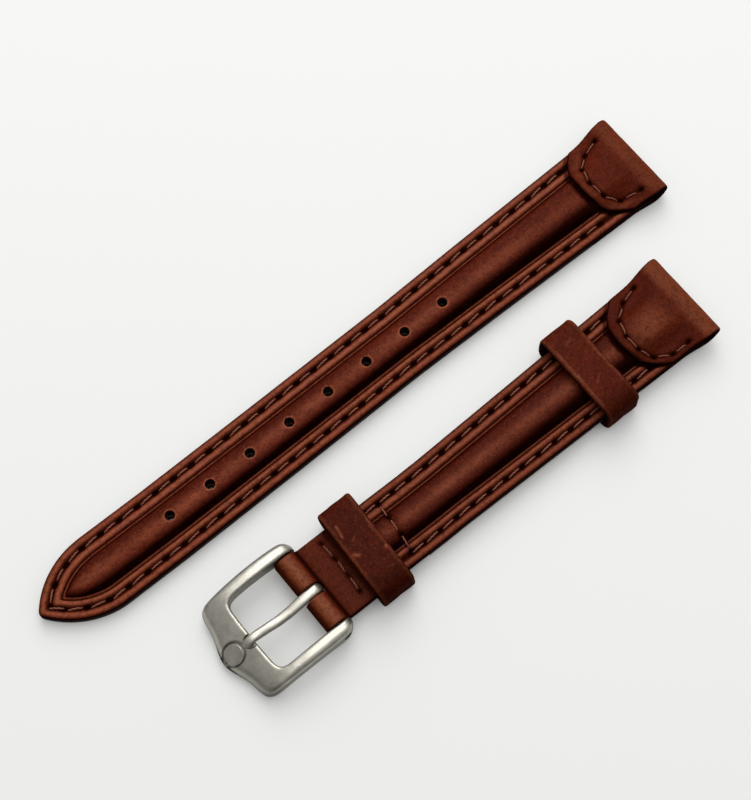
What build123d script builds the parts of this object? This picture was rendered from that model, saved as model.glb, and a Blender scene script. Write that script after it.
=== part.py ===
from build123d import *
import os
from math import acos, ceil, cos, degrees, radians, sin

# A ladies' leather watch strap in two halves, lying side by side, top side up.
# Millimetres. The lug ends point to +X, the long half lies on the +Y side, Z is up.
# The origin is under the middle of the whole part, on the surface that it lies on.
# Each half is drawn in a plane of its own: x runs from its lug end towards the far end,
# y across the leather and z up from the underside of the leather.

# Plan of the leather, the same on both halves
lug_width = 14.0
shoulder_drop = 0.5
strap_width = 11.3
flare_start = 1.6
flare_end = 6.3
taper_end = 46.0

# Length of each half, and how they lie
tail_length = 109.3
tip_length = 10.8
tip_round = 0.5
bar_distance = 69.1
row_spacing = 20.96
row_offset = 9.58

# Layers of the leather, from the underside up
lining_thickness = 0.9
stiffener_thickness = 0.4
upper_thickness = 1.0
ridge_rise = 1.2
ridge_wall = 0.8
ridge_inset = 3.3
edge_round = 0.2
layer_inset = 0.05

# Seam along the edges
seam_inset = 1.45
groove_width = 0.8
groove_depth = 0.35
stitch_pitch = 3.16
stitch_length = 2.1
stitch_slant = 9.0
thread_width = 0.42
thread_height = 0.3
thread_gap = 0.03

# Spring-bar tunnel and the lug wrap with its tab
tunnel_diameter = 2.0
tunnel_wall = 0.95
pocket_wall = 0.15
tab_thickness = 0.5
tail_tab_reach = 10.35
short_tab_reach = 12.64
wrap_leg = 14.0
tab_stitch_pitch = 2.2
tab_stitch_length = 1.5

# Holes of the tail
hole_diameter = 1.5
hole_pitch = 7.06
hole_count = 8
first_hole_from_tip = 22.3

# Buckle end of the short half
fold_side = 0.22
fold_radius = 1.9
fold_bottom_leg = 16.0
fold_top_leg = 9.5
tongue_slot_width = 1.8
tongue_slot_reach = 1.85
upper_end_gap = 0.1
ridge_end = 16.4
cross_row = 14.7
cross_row_gap = 0.175
fold_row = 5.3
fold_row_inset = 1.5
row_stitches = 3

# Loops
loop_length = 5.6
loop_wall = 1.1
loop_height = 6.4
loop_lift = 1.0
fixed_loop_play = 0.85
free_loop_play = 0.265
loop_corner = 1.7
loop_inner_corner = 0.3
loop_edge_round = 0.35
free_loop_gap = 0.12
fixed_loop_place = 59.6
free_loop_place = 19.1

# Buckle frame
fold_play = 0.15
arm_width = 2.05
buckle_reach = 15.2
front_drop = 1.85
front_bow = 1.2
front_width = 2.95
window_corner = 1.3
front_corner = 2.0
nose_radius = 2.2
nose_blend = 2.5
arm_end_radius = 1.8
front_thickness = 2.6
frame_edge_round = 0.45

# Tongue
tongue_radius = 0.66
tongue_ring_radius = 1.35
tongue_ring_width = 1.36
tongue_rest = 1.0
notch_gap = 0.15

# Spring bar of the buckle
bar_diameter = 1.3
bar_bore = 1.0
bar_end_gap = 0.1
crimp_length = 0.4
pin_diameter = 0.8
pin_head_diameter = 0.92
pin_head_length = 1.0
pin_reach = 1.3
pin_gap = 0.04
pin_hole_diameter = 0.95
ring_gap = 0.06
spring_wire = 0.18
spring_wire_sides = 6
spring_diameter = 0.7
spring_turns = 14
spring_gap = 0.05

# Badge let into the nose of the buckle
badge_diameter = 3.1
badge_thickness = 0.5
badge_drop = 0.4
badge_tilt = 24.0
badge_recess = 0.12

overrun = 3.0

# Heights that follow from the layers
stiffener_top = lining_thickness + stiffener_thickness
margin_top = stiffener_top + upper_thickness
ridge_top = margin_top + ridge_rise
wrap_radius = tunnel_diameter / 2 + tunnel_wall
pocket_start = wrap_radius + tunnel_diameter / 2 + pocket_wall
lining_start = wrap_leg + upper_end_gap
upper_stop = bar_distance - fold_top_leg - upper_end_gap
lining_stop = bar_distance - fold_bottom_leg - upper_end_gap
short_ridge_stop = bar_distance - ridge_end
fold_thickness = lining_thickness
fold_top = stiffener_top + fold_thickness

# Places and widths that follow from the plan
shoulder_width = lug_width - 2 * shoulder_drop
fold_width = strap_width + 2 * fold_side
fold_row_span = fold_width - 2 * fold_row_inset
cross_row_span = strap_width - 2 * (seam_inset + cross_row_gap)
buckle_opening = fold_width + 2 * fold_play
buckle_width = buckle_opening + 2 * arm_width
taper_share = (free_loop_place - loop_length / 2 - flare_end) / (taper_end - flare_end)
free_loop_leather = shoulder_width + taper_share * (strap_width - shoulder_width)
free_loop_width = free_loop_leather + 2 * (free_loop_play + loop_wall)
fixed_loop_width = strap_width + 2 * (fixed_loop_play + loop_wall)
front_place = buckle_reach - front_drop
front_window = front_place - front_width
tongue_length = front_window + tongue_rest
badge_place = buckle_reach - nose_radius

# Planes of the two halves and of the buckle's bar, upright and level
tail_y = (row_spacing + buckle_width / 2 - lug_width / 2) / 2
tail_frame = Plane(origin=(tail_length / 2, tail_y, 0), x_dir=(-1, 0, 0), z_dir=(0, 0, 1))
short_origin = (tail_length / 2 - row_offset, tail_y - row_spacing, loop_lift)
short_frame = Plane(origin=short_origin, x_dir=(-1, 0, 0), z_dir=(0, 0, 1))
bar_point = short_frame.from_local_coords(Vector(bar_distance, 0, fold_radius))
bar_frame = Plane(origin=bar_point, x_dir=(-1, 0, 0), z_dir=(0, 0, 1))
bar_height = loop_lift + fold_radius

# How the crown of the ridge closes in: share of its rise, share of its half width
ridge_half_width = min(strap_width, shoulder_width) / 2 - ridge_inset
crown_shares = [(0, 0), (0.42, 0.06), (0.74, 0.2), (0.92, 0.4), (1, 0.62)]

# Side view of the buckle: share of its reach, then share of the arm's radius above the bar's
# axis for the top, and share of the axis's height below it for the underside
frame_top_shares = [(0.35, 0.62), (0.66, 0.16), (0.86, -0.18), (1.0, -0.85)]
frame_under_shares = [(0.54, 1.0), (0.3, 0.86)]

# Side view of the tongue: share of its length, share of its ring's radius above the bar's axis
tongue_shares = [(0.2, 0.78), (0.52, 0.46), (0.8, 0.96), (1.0, 0.46)]

# Tab outlines and tab seams: share of the tab's reach, share of half the lug width
tail_tab_shares = [(0.5, -1.0), (0.79, -0.78), (0.94, -0.5), (1.0, -0.02),
                   (0.95, 0.5), (0.86, 0.8), (0.74, 1.0)]
short_tab_shares = [(0.6, -1.0), (0.83, -0.78), (0.94, -0.52), (1.0, -0.04),
                    (0.97, 0.48), (0.91, 0.8), (0.82, 1.0)]
tail_tab_seam_shares = [(0.36, -0.74), (0.64, -0.65), (0.845, -0.39), (0.9, -0.02),
                        (0.83, 0.38), (0.7, 0.56), (0.33, 0.7)]
short_tab_seam_shares = [(0.334, -0.763), (0.739, -0.71), (0.858, -0.447), (0.891, -0.071),
                         (0.869, 0.223), (0.746, 0.543), (0.389, 0.819)]


def level(frame, height):
    """Plane of a half at a height above the underside of its leather."""
    return frame.offset(height)


def across(frame, distance):
    """Plane square to a half at a distance from its lug end, with y to its right."""
    origin = frame.from_local_coords(Vector(distance, 0, 0))
    return Plane(origin=origin, x_dir=frame.y_dir, z_dir=frame.x_dir)


def along(frame):
    """Upright plane along the middle of a half."""
    return Plane(origin=frame.origin, x_dir=frame.x_dir, z_dir=-frame.y_dir)


def strap_side(inset, reach, tip):
    """One edge of the leather, drawn in by inset, from the lug end to the far end."""
    lug_half = lug_width / 2 - inset
    shoulder_half = shoulder_width / 2 - inset
    strap_half = strap_width / 2 - inset
    with BuildLine() as side:
        Line((0, lug_half), (flare_start, lug_half))
        Spline((flare_start, lug_half), (flare_end, shoulder_half), tangents=[(1, 0), (1, 0)])
        Line((flare_end, shoulder_half), (taper_end, strap_half))
        Line((taper_end, strap_half), (reach - tip, strap_half))
        if tip > 0:
            outer_radius = (tip**2 + (strap_width / 2) ** 2) / strap_width
            tip_radius = outer_radius - inset
            sweep_angle = degrees(acos((outer_radius - strap_width / 2) / tip_radius))
            JernArc((reach - tip, strap_half), (1, 0), tip_radius, -sweep_angle)
    return side.line


def strap_sketch(plane, inset, start, stop, tip=0):
    """Closed outline of the leather between two distances from the lug end."""
    side = strap_side(inset, max(stop, taper_end + overrun), tip)
    far_point = side.edges().sort_by(Axis.X)[-1] @ 1
    with BuildSketch(plane) as sketch:
        with BuildLine():
            add(side)
            Line((0, 0), (0, lug_width / 2 - inset))
            if tip == 0:
                Line(far_point, (far_point.X, 0))
            mirror(about=Plane.XZ)
        make_face()
        if tip > 0 and inset < seam_inset:
            fillet(sketch.vertices().sort_by(Axis.X)[-1], tip_round)
        with Locations(((start + stop) / 2, 0)):
            Rectangle(stop - start, lug_width + overrun, mode=Mode.INTERSECT)
    return sketch.sketch


def crown_sketches(frame, base, rise, inset, start, stop, tip=0):
    """Outlines that close in upwards, for the rounded ridge or the padding in it."""
    outlines = []
    for rise_share, inset_share in crown_shares:
        closing = inset_share * ridge_half_width
        end = stop if tip > 0 else stop - closing
        plane = level(frame, base + rise_share * rise)
        outlines.append(strap_sketch(plane, inset + closing, start, end, tip))
    return outlines


def seam_places(reach, tip, first, last, slant):
    """Places of the stitches on both edges, a pitch apart from the far end back."""
    side = Wire(strap_side(seam_inset, reach, tip).edges())
    places = []
    for number in range(ceil(side.length / stitch_pitch)):
        distance = side.length - (number + 0.5) * stitch_pitch
        if distance > 0:
            point = side.position_at(distance, position_mode=PositionMode.LENGTH)
            heading = side.tangent_at(distance, position_mode=PositionMode.LENGTH)
            turn = degrees(acos(max(-1, min(1, heading.X)))) * (-1 if heading.Y < 0 else 1)
            if first < point.X < last:
                places.append(Location((point.X, point.Y, 0), (0, 0, turn + slant)))
                places.append(Location((point.X, -point.Y, 0), (0, 0, -turn + slant)))
    return places


def stitch_sketch(plane, places, length, width):
    """Round-ended stitches lying flat at the given places."""
    with BuildSketch(plane) as sketch:
        with Locations(places):
            SlotOverall(length, width)
    return sketch.sketch


def groove_sketch(plane, start, stop, tip=0):
    """The sunk lane that the seam runs in, along both edges and round the tip."""
    lane_outside = strap_sketch(plane, seam_inset - groove_width / 2, start, stop, tip)
    lane_inside = strap_sketch(plane, seam_inset + groove_width / 2, start, stop, tip)
    return lane_outside - lane_inside


def row_places(distance, span, count):
    """Places of a short row of stitches across the leather."""
    pitch = span / count
    return [Location((distance, (number - (count - 1) / 2) * pitch, 0), (0, 0, 90 - stitch_slant))
            for number in range(count)]


def row_seats(plane, places):
    """Seats of a short row, wider than its thread by a gap all round."""
    seat_length = stitch_length + 2 * thread_gap
    return stitch_sketch(plane, places, seat_length, thread_width + 2 * thread_gap)


def tab_sketch(frame, reach, shares):
    """Plan of the tab on top of a lug end."""
    points = [(along_share * reach, -side_share * lug_width / 2) for along_share, side_share in shares]
    with BuildSketch(frame) as sketch:
        with BuildLine():
            Spline(*points)
            Polyline(points[-1], (0, points[-1][1]), (0, points[0][1]), points[0])
        make_face()
    return sketch.sketch


def tab_section(frame, distance, edge_height, crown_height):
    """Section across the tab, domed on top, down to the underside of the strap."""
    half = lug_width / 2
    with BuildSketch(across(frame, distance)) as sketch:
        with BuildLine():
            Polyline((half, edge_height), (half, 0), (-half, 0), (-half, edge_height))
            ThreePointArc((-half, edge_height), (0, crown_height), (half, edge_height))
        make_face()
    return sketch.sketch


def tab_height(distance, side, reach):
    """Height of the tab's domed top over a point of the plan."""
    share = (distance - wrap_radius) / (reach - wrap_radius)
    edge_height = wrap_edge_height + share * (tab_edge_height - wrap_edge_height)
    crown_height = wrap_radius * 2 + share * (tab_crown_height - wrap_radius * 2)
    return edge_height + (crown_height - edge_height) * (1 - (side / (lug_width / 2)) ** 2)


def tab_stitch_planes(frame, reach, shares):
    """A plane for each stitch of the tab, lying on the domed top."""
    points = [(along_share * reach, -side_share * lug_width / 2) for along_share, side_share in shares]
    row = Spline(*points, mode=Mode.PRIVATE)
    count = round(row.length / tab_stitch_pitch)
    planes = []
    for number in range(count):
        middle = row @ ((number + 0.5) / count)
        ahead = middle + (row % ((number + 0.5) / count)) * (tab_stitch_length / 2)
        middle_height = tab_height(middle.X, middle.Y, reach)
        rise = tab_height(ahead.X, ahead.Y, reach) - middle_height
        heading = Vector(ahead.X - middle.X, ahead.Y - middle.Y, rise)
        level_side = Vector(-heading.Y, heading.X, 0)
        here = Plane((middle.X, middle.Y, middle_height), x_dir=heading, z_dir=heading.cross(level_side))
        planes.append(Plane(frame.location * here.location))
    return planes


wrap_edge_height = wrap_radius * 2 - layer_inset
tab_edge_height = margin_top + tab_thickness
tab_crown_height = ridge_top + tab_thickness

os.makedirs("parts", exist_ok=True)


# Both halves share these layers. Each entry: plane, ends of the layers and the tip.
stiffener_stop = bar_distance - fold_radius - layer_inset
halves = {
    "tail": (tail_frame, tail_length, tail_length, tail_length, tail_length, tip_length),
    "short": (short_frame, upper_stop, lining_stop, short_ridge_stop, stiffener_stop, 0),
}
fold_row_places = row_places(bar_distance - fold_row, fold_row_span, row_stitches)
cross_row_places = row_places(bar_distance - cross_row, cross_row_span, row_stitches)
hole_row_start = tail_length - first_hole_from_tip
hole_places = [(hole_row_start - number * hole_pitch, 0) for number in range(hole_count)]

for half, (frame, upper_reach, lining_reach, ridge_reach, stiffener_reach, tip) in halves.items():
    padding_rise = ridge_top - ridge_wall - stiffener_top
    padding_inset = ridge_inset + ridge_wall / 2
    padding_start = pocket_start + ridge_wall
    padding_reach = ridge_reach if tip > 0 else ridge_reach - ridge_wall
    ridge_outlines = crown_sketches(frame, margin_top, ridge_rise, ridge_inset,
                                    pocket_start, ridge_reach, tip)
    padding_outlines = crown_sketches(frame, stiffener_top, padding_rise, padding_inset,
                                      padding_start, padding_reach, tip)
    with BuildSketch(frame) as hole_row:
        with Locations(hole_places):
            Circle(hole_diameter / 2)

    # The upper: a sheet with a rounded ridge, a sunk lane for the seam and room for the padding
    with BuildPart() as upper:
        upper_outline = strap_sketch(level(frame, stiffener_top), 0, pocket_start, upper_reach, tip)
        extrude(upper_outline, amount=upper_thickness - edge_round)
        loft([strap_sketch(level(frame, margin_top - edge_round), 0, pocket_start, upper_reach, tip),
              strap_sketch(level(frame, margin_top), edge_round, pocket_start, upper_reach, tip)], ruled=True)
        extrude(groove_sketch(level(frame, margin_top), pocket_start, upper_reach, tip),
                amount=-groove_depth, mode=Mode.SUBTRACT)
        loft(ridge_outlines, ruled=True)
        loft(padding_outlines, ruled=True, mode=Mode.SUBTRACT)
        if tip > 0:
            extrude(hole_row.sketch, amount=ridge_top + overrun, mode=Mode.SUBTRACT)
        else:
            extrude(row_seats(level(frame, margin_top - groove_depth), cross_row_places),
                    amount=groove_depth, mode=Mode.SUBTRACT)
    upper.part.label = f"{half}_upper"
    export_step(upper.part, f"parts/{half}_upper.step")

    # The padding that fills the ridge
    with BuildPart() as padding:
        loft(padding_outlines, ruled=True)
        if tip > 0:
            extrude(hole_row.sketch, amount=ridge_top + overrun, mode=Mode.SUBTRACT)
    padding.part.label = f"{half}_padding"
    export_step(padding.part, f"parts/{half}_padding.step")

    # The stiffener sheet between upper and lining
    with BuildPart() as stiffener:
        extrude(strap_sketch(level(frame, lining_thickness), layer_inset, pocket_start, stiffener_reach, tip),
                amount=stiffener_thickness)
        if tip > 0:
            extrude(hole_row.sketch, amount=ridge_top + overrun, mode=Mode.SUBTRACT)
    stiffener.part.label = f"{half}_stiffener"
    export_step(stiffener.part, f"parts/{half}_stiffener.step")

    # The lining, with the lane of the bobbin thread on its underside
    with BuildPart() as lining:
        extrude(strap_sketch(frame, 0, lining_start, lining_reach, tip), amount=lining_thickness)
        bobbin_lane = groove_sketch(frame, lining_start, lining_reach, tip)
        extrude(bobbin_lane, amount=groove_depth, mode=Mode.SUBTRACT)
        if tip > 0:
            extrude(hole_row.sketch, amount=ridge_top + overrun, mode=Mode.SUBTRACT)
    lining.part.label = f"{half}_lining"
    export_step(lining.part, f"parts/{half}_lining.step")

# The lug wraps: a strip folded round the spring-bar tunnel, with a tab on top and a leg below
tabs = {
    "tail": (tail_frame, tail_tab_reach, tail_tab_shares, tail_tab_seam_shares, tail_length, tip_length),
    "short": (short_frame, short_tab_reach, short_tab_shares, short_tab_seam_shares, short_ridge_stop, 0),
}
for half, (frame, reach, outline_shares, seam_shares, ridge_reach, tip) in tabs.items():
    stitch_planes = tab_stitch_planes(frame, reach, seam_shares)
    with BuildPart() as lug_wrap:
        loft([tab_section(frame, wrap_radius, wrap_edge_height, wrap_radius * 2),
              tab_section(frame, reach, tab_edge_height, tab_crown_height)], ruled=True)
        tab_plan = tab_sketch(frame, reach, outline_shares)
        extrude(tab_plan, amount=tab_crown_height + overrun, mode=Mode.INTERSECT)
        with BuildSketch(along(frame)):
            with Locations((wrap_radius, wrap_radius)):
                Circle(wrap_radius)
            with Locations(((wrap_radius + wrap_leg) / 2, lining_thickness / 2)):
                Rectangle(wrap_leg - wrap_radius, lining_thickness)
        extrude(amount=lug_width / 2, both=True)
        extrude(strap_sketch(frame, 0, 0, wrap_leg), amount=tab_crown_height + overrun, mode=Mode.INTERSECT)
        extrude(strap_sketch(level(frame, lining_thickness), -overrun, pocket_start, wrap_leg + overrun),
                amount=margin_top - lining_thickness, mode=Mode.SUBTRACT)
        loft(crown_sketches(frame, margin_top, ridge_rise, ridge_inset, pocket_start, ridge_reach, tip),
             ruled=True, mode=Mode.SUBTRACT)
        with BuildSketch(along(frame)):
            with Locations((wrap_radius, wrap_radius)):
                Circle(tunnel_diameter / 2)
        extrude(amount=lug_width, both=True, mode=Mode.SUBTRACT)
        for stitch_plane in stitch_planes:
            with BuildSketch(stitch_plane.offset(-thread_height)):
                SlotOverall(tab_stitch_length + thread_gap * 2, thread_width + thread_gap * 2)
            extrude(amount=thread_height * 2, mode=Mode.SUBTRACT)
    lug_wrap.part.label = f"{half}_lug_wrap"
    export_step(lug_wrap.part, f"parts/{half}_lug_wrap.step")

    with BuildPart() as tab_thread:
        for stitch_plane in stitch_planes:
            with BuildSketch(stitch_plane.offset(thread_gap - thread_height)):
                SlotOverall(tab_stitch_length, thread_width)
            extrude(amount=thread_height)
    tab_thread.part.label = f"{half}_tab_thread"
    export_step(tab_thread.part, f"parts/{half}_tab_thread.step")

# The seams: top thread in the lane of the upper, bobbin thread in the lane of the lining
seams = {
    "tail": (tail_frame, tail_length, tip_length, tail_tab_reach, tail_length, lining_start, tail_length),
    "short": (short_frame, upper_stop, 0, short_tab_reach, upper_stop, lining_start, lining_stop),
}
for half, (frame, reach, tip, top_first, top_last, under_first, under_last) in seams.items():
    with BuildPart() as seam_thread:
        places = seam_places(reach, tip, top_first, top_last, stitch_slant)
        extrude(stitch_sketch(level(frame, margin_top - groove_depth + thread_gap), places,
                              stitch_length, thread_width), amount=thread_height)
    seam_thread.part.label = f"{half}_seam_thread"
    export_step(seam_thread.part, f"parts/{half}_seam_thread.step")

    with BuildPart() as bobbin_thread:
        last = under_last if tip > 0 else under_last - stitch_length
        places = seam_places(reach, tip, under_first + stitch_length, last, 0)
        stitches = stitch_sketch(level(frame, thread_gap), places, stitch_length, thread_width)
        extrude(stitches, amount=thread_height)
    bobbin_thread.part.label = f"{half}_bobbin_thread"
    export_step(bobbin_thread.part, f"parts/{half}_bobbin_thread.step")

# The fold that holds the bar: a strip round the bar, slotted in the middle for the tongue
fold_inner_radius = fold_radius - fold_thickness
bar_side = Plane(origin=bar_frame.origin, x_dir=bar_frame.x_dir, z_dir=-bar_frame.y_dir)

with BuildPart() as buckle_fold:
    with BuildSketch(bar_side):
        Circle(fold_radius)
        with Locations((-fold_bottom_leg / 2, fold_thickness / 2 - fold_radius)):
            Rectangle(fold_bottom_leg, fold_thickness)
        with Locations((-fold_top_leg / 2, fold_top - fold_thickness / 2 - fold_radius)):
            Rectangle(fold_top_leg, fold_thickness)
        Circle(fold_inner_radius, mode=Mode.SUBTRACT)
    extrude(amount=fold_width / 2, both=True)
    with BuildSketch(bar_frame):
        with Locations((overrun / 2, 0)):
            SlotOverall(2 * tongue_slot_reach + overrun, tongue_slot_width)
    extrude(amount=overrun, both=True, mode=Mode.SUBTRACT)
    extrude(row_seats(level(short_frame, fold_top - groove_depth), fold_row_places),
            amount=groove_depth, mode=Mode.SUBTRACT)
    extrude(row_seats(short_frame, fold_row_places + cross_row_places),
            amount=groove_depth, mode=Mode.SUBTRACT)
buckle_fold.part.label = "buckle_fold"
export_step(buckle_fold.part, "parts/buckle_fold.step")

# The two short rows across the leather, each with its stitches above and below
with BuildPart() as fold_thread:
    for height in (fold_top - groove_depth + thread_gap, thread_gap):
        extrude(stitch_sketch(level(short_frame, height), fold_row_places, stitch_length, thread_width),
                amount=thread_height)
fold_thread.part.label = "fold_thread"
export_step(fold_thread.part, "parts/fold_thread.step")

with BuildPart() as cross_thread:
    for height in (margin_top - groove_depth + thread_gap, thread_gap):
        extrude(stitch_sketch(level(short_frame, height), cross_row_places, stitch_length, thread_width),
                amount=thread_height)
cross_thread.part.label = "cross_thread"
export_step(cross_thread.part, "parts/cross_thread.step")

# The loops: flat bands closed to a ring, the fixed one tight under the strap, the free one loose
loops = {
    "fixed_loop": (fixed_loop_place, fixed_loop_width, 0),
    "free_loop": (free_loop_place, free_loop_width, free_loop_gap),
}
for loop_name, (place, width, gap) in loops.items():
    with BuildPart() as loop:
        with BuildSketch(across(short_frame, place)):
            with Locations((0, loop_height / 2 - loop_lift)):
                RectangleRounded(width, loop_height, loop_corner)
            inner_height = loop_height - loop_wall - loop_lift + gap
            with Locations((0, inner_height / 2 - gap)):
                RectangleRounded(width - 2 * loop_wall, inner_height, loop_inner_corner, mode=Mode.SUBTRACT)
        extrude(amount=loop_length / 2, both=True)
        ends = loop.faces().filter_by(Axis.X)
        fillet([edge for end in ends for edge in end.outer_wire().edges()], loop_edge_round)
    loop.part.label = loop_name
    export_step(loop.part, f"parts/{loop_name}.step")

# The buckle frame: two round-ended arms and a broad front bar with a nose
frame_half = buckle_width / 2
opening_half = buckle_opening / 2
front_top = front_thickness - bar_height
tongue_tip_height = tongue_shares[-1][1] * tongue_ring_radius
badge_normal = (-sin(radians(badge_tilt)), 0, cos(radians(badge_tilt)))
badge_point = bar_frame.from_local_coords(Vector(badge_place, 0, front_top - badge_drop))
badge_plane = Plane(origin=badge_point, x_dir=(0, 1, 0), z_dir=badge_normal)

with BuildPart() as buckle_frame:
    with BuildSketch(bar_frame) as frame_plan:
        with BuildLine():
            Polyline((-arm_end_radius, 0), (-arm_end_radius, frame_half), (front_place, frame_half),
                     (front_place + front_bow, 0))
            mirror(about=Plane.XZ)
        make_face()
        fillet(frame_plan.vertices().group_by(Axis.X)[-2], front_corner)
        with Locations((buckle_reach - nose_radius, 0)):
            Circle(nose_radius)
        hollows = [corner for corner in frame_plan.vertices() if 0 < abs(corner.Y) < nose_radius]
        fillet(hollows, nose_blend)
        window_length = front_window + arm_end_radius + overrun
        with Locations((front_window - window_length / 2, 0)):
            RectangleRounded(window_length, buckle_opening, window_corner, mode=Mode.SUBTRACT)
    extrude(amount=bar_height, both=True)
    with BuildSketch(bar_side):
        with BuildLine():
            top_points = [(place * buckle_reach, height * arm_end_radius)
                          for place, height in frame_top_shares]
            under_points = [(place * buckle_reach, -depth * bar_height)
                            for place, depth in frame_under_shares]
            Spline((0, arm_end_radius), *top_points, tangents=[(1, 0), (1, -1)])
            Polyline(top_points[-1], (buckle_reach, -bar_height), under_points[0])
            Spline(*under_points, (0, -arm_end_radius), tangents=[(-1, 0), (-1, 0)])
            ThreePointArc((0, -arm_end_radius), (-arm_end_radius, 0), (0, arm_end_radius))
        make_face()
    extrude(amount=frame_half + overrun, both=True, mode=Mode.INTERSECT)
    fillet(buckle_frame.edges().filter_by(lambda edge: edge.length > frame_edge_round), frame_edge_round)
    with BuildSketch(bar_side):
        Circle(pin_hole_diameter / 2)
    extrude(amount=frame_half + overrun, both=True, mode=Mode.SUBTRACT)
    notch_reach = tongue_length + tongue_radius + notch_gap
    with BuildSketch(bar_frame.offset(tongue_tip_height - tongue_radius - notch_gap)):
        with Locations((notch_reach - overrun, 0)):
            SlotOverall(2 * overrun, 2 * (tongue_radius + notch_gap))
    extrude(amount=overrun, mode=Mode.SUBTRACT)
    with BuildSketch(badge_plane.offset(-badge_thickness)):
        Circle(badge_diameter / 2)
    extrude(amount=badge_thickness + overrun, mode=Mode.SUBTRACT)
buckle_frame.part.label = "buckle_frame"
export_step(buckle_frame.part, "parts/buckle_frame.step")

# A plain round disc let into the nose
with BuildPart() as buckle_badge:
    with BuildSketch(badge_plane.offset(-badge_thickness)):
        Circle(badge_diameter / 2 - pin_gap)
    extrude(amount=badge_thickness - badge_recess)
    chamfer(buckle_badge.edges().group_by(Axis.Z)[-1], pin_gap)
buckle_badge.part.label = "buckle_badge"
export_step(buckle_badge.part, "parts/buckle_badge.step")

# The tongue: a round rod with a ring round the bar, resting in the notch of the front bar
with BuildPart() as tongue:
    with BuildLine(bar_side) as tongue_line:
        rod_points = [(place * tongue_length, height * tongue_ring_radius) for place, height in tongue_shares]
        Spline((0, tongue_ring_radius - tongue_radius), *rod_points)
    rod_start = Plane(origin=tongue_line.line @ 0, z_dir=tongue_line.line % 0)
    with BuildSketch(rod_start):
        Circle(tongue_radius)
    sweep(path=tongue_line.line)
    with Locations(tongue_line.line @ 1):
        Sphere(tongue_radius)
    with BuildSketch(bar_side):
        Circle(tongue_ring_radius)
    extrude(amount=tongue_ring_width / 2, both=True)
    with BuildSketch(bar_side):
        Circle(bar_diameter / 2 + ring_gap)
    extrude(amount=tongue_ring_width, both=True, mode=Mode.SUBTRACT)
tongue.part.label = "tongue"
export_step(tongue.part, "parts/tongue.step")

# The spring bar: a tube with drawn-in ends, a spring in it and a pin at each end
bar_half = opening_half - bar_end_gap
with BuildPart() as bar_tube:
    with BuildSketch(bar_side):
        Circle(bar_diameter / 2)
    extrude(amount=bar_half, both=True)
    with BuildSketch(bar_side):
        Circle(bar_bore / 2)
    extrude(amount=bar_half - crimp_length, both=True, mode=Mode.SUBTRACT)
    with BuildSketch(bar_side):
        Circle(pin_diameter / 2 + pin_gap)
    extrude(amount=bar_half, both=True, mode=Mode.SUBTRACT)
bar_tube.part.label = "bar_tube"
export_step(bar_tube.part, "parts/bar_tube.step")

head_end = bar_half - crimp_length - pin_gap
head_start = head_end - pin_head_length
for pin_name, direction in (("bar_pin_right", 1), ("bar_pin_left", -1)):
    with BuildPart() as pin:
        with BuildSketch(bar_side.offset(direction * head_start)):
            Circle(pin_head_diameter / 2)
        extrude(amount=direction * pin_head_length)
        with BuildSketch(bar_side.offset(direction * head_end)):
            Circle(pin_diameter / 2)
        extrude(amount=direction * (opening_half + pin_reach - head_end))
        chamfer(pin.faces().sort_by(Axis.Y)[-1 if direction > 0 else 0].edges(), pin_gap * 2)
    pin.part.label = pin_name
    export_step(pin.part, f"parts/{pin_name}.step")

with BuildPart() as bar_spring:
    spring_half = head_start - spring_gap - spring_wire / 2
    coil = Helix(spring_half * 2 / spring_turns, spring_half * 2, spring_diameter / 2,
                 center=bar_side.origin - bar_side.z_dir * spring_half, direction=bar_side.z_dir,
                 mode=Mode.PRIVATE)
    with BuildSketch(Plane(origin=coil @ 0, z_dir=coil % 0)):
        RegularPolygon(spring_wire / 2, spring_wire_sides)
    sweep(path=coil, is_frenet=True)
bar_spring.part.label = "bar_spring"
export_step(bar_spring.part, "parts/bar_spring.step")
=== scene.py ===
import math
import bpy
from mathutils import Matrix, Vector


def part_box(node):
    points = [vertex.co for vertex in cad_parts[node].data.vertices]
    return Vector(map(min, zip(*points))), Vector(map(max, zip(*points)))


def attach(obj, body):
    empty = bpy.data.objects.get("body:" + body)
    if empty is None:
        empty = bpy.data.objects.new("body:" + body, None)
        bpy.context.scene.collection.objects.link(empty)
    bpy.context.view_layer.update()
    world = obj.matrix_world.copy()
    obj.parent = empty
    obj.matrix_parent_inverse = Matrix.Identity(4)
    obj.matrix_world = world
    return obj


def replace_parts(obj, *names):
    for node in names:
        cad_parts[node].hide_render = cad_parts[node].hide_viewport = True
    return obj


bl_info = {
    "name": "Leather Watch Strap",
    "version": (1, 0, 0),
    "blender": (4, 5, 0),
    "location": "View3D > Sidebar > Strap",
    "description": "A padded ladies' watch strap in two halves, with its buckle",
    "category": "Object",
}

import bmesh
import bpy
import numpy as np
from mathutils import Vector

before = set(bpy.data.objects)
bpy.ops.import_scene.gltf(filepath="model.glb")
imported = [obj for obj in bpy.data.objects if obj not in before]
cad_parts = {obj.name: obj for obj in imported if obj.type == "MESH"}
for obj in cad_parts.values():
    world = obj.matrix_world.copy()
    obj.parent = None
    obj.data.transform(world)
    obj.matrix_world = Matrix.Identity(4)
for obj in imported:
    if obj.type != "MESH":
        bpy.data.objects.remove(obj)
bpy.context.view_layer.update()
MM = 0.001


def box_mm(node):
    """Lowest and highest corner of a CAD node's box, in millimetres."""
    low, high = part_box(node)
    return low / MM, high / MM


# Sizes in millimetres

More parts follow.
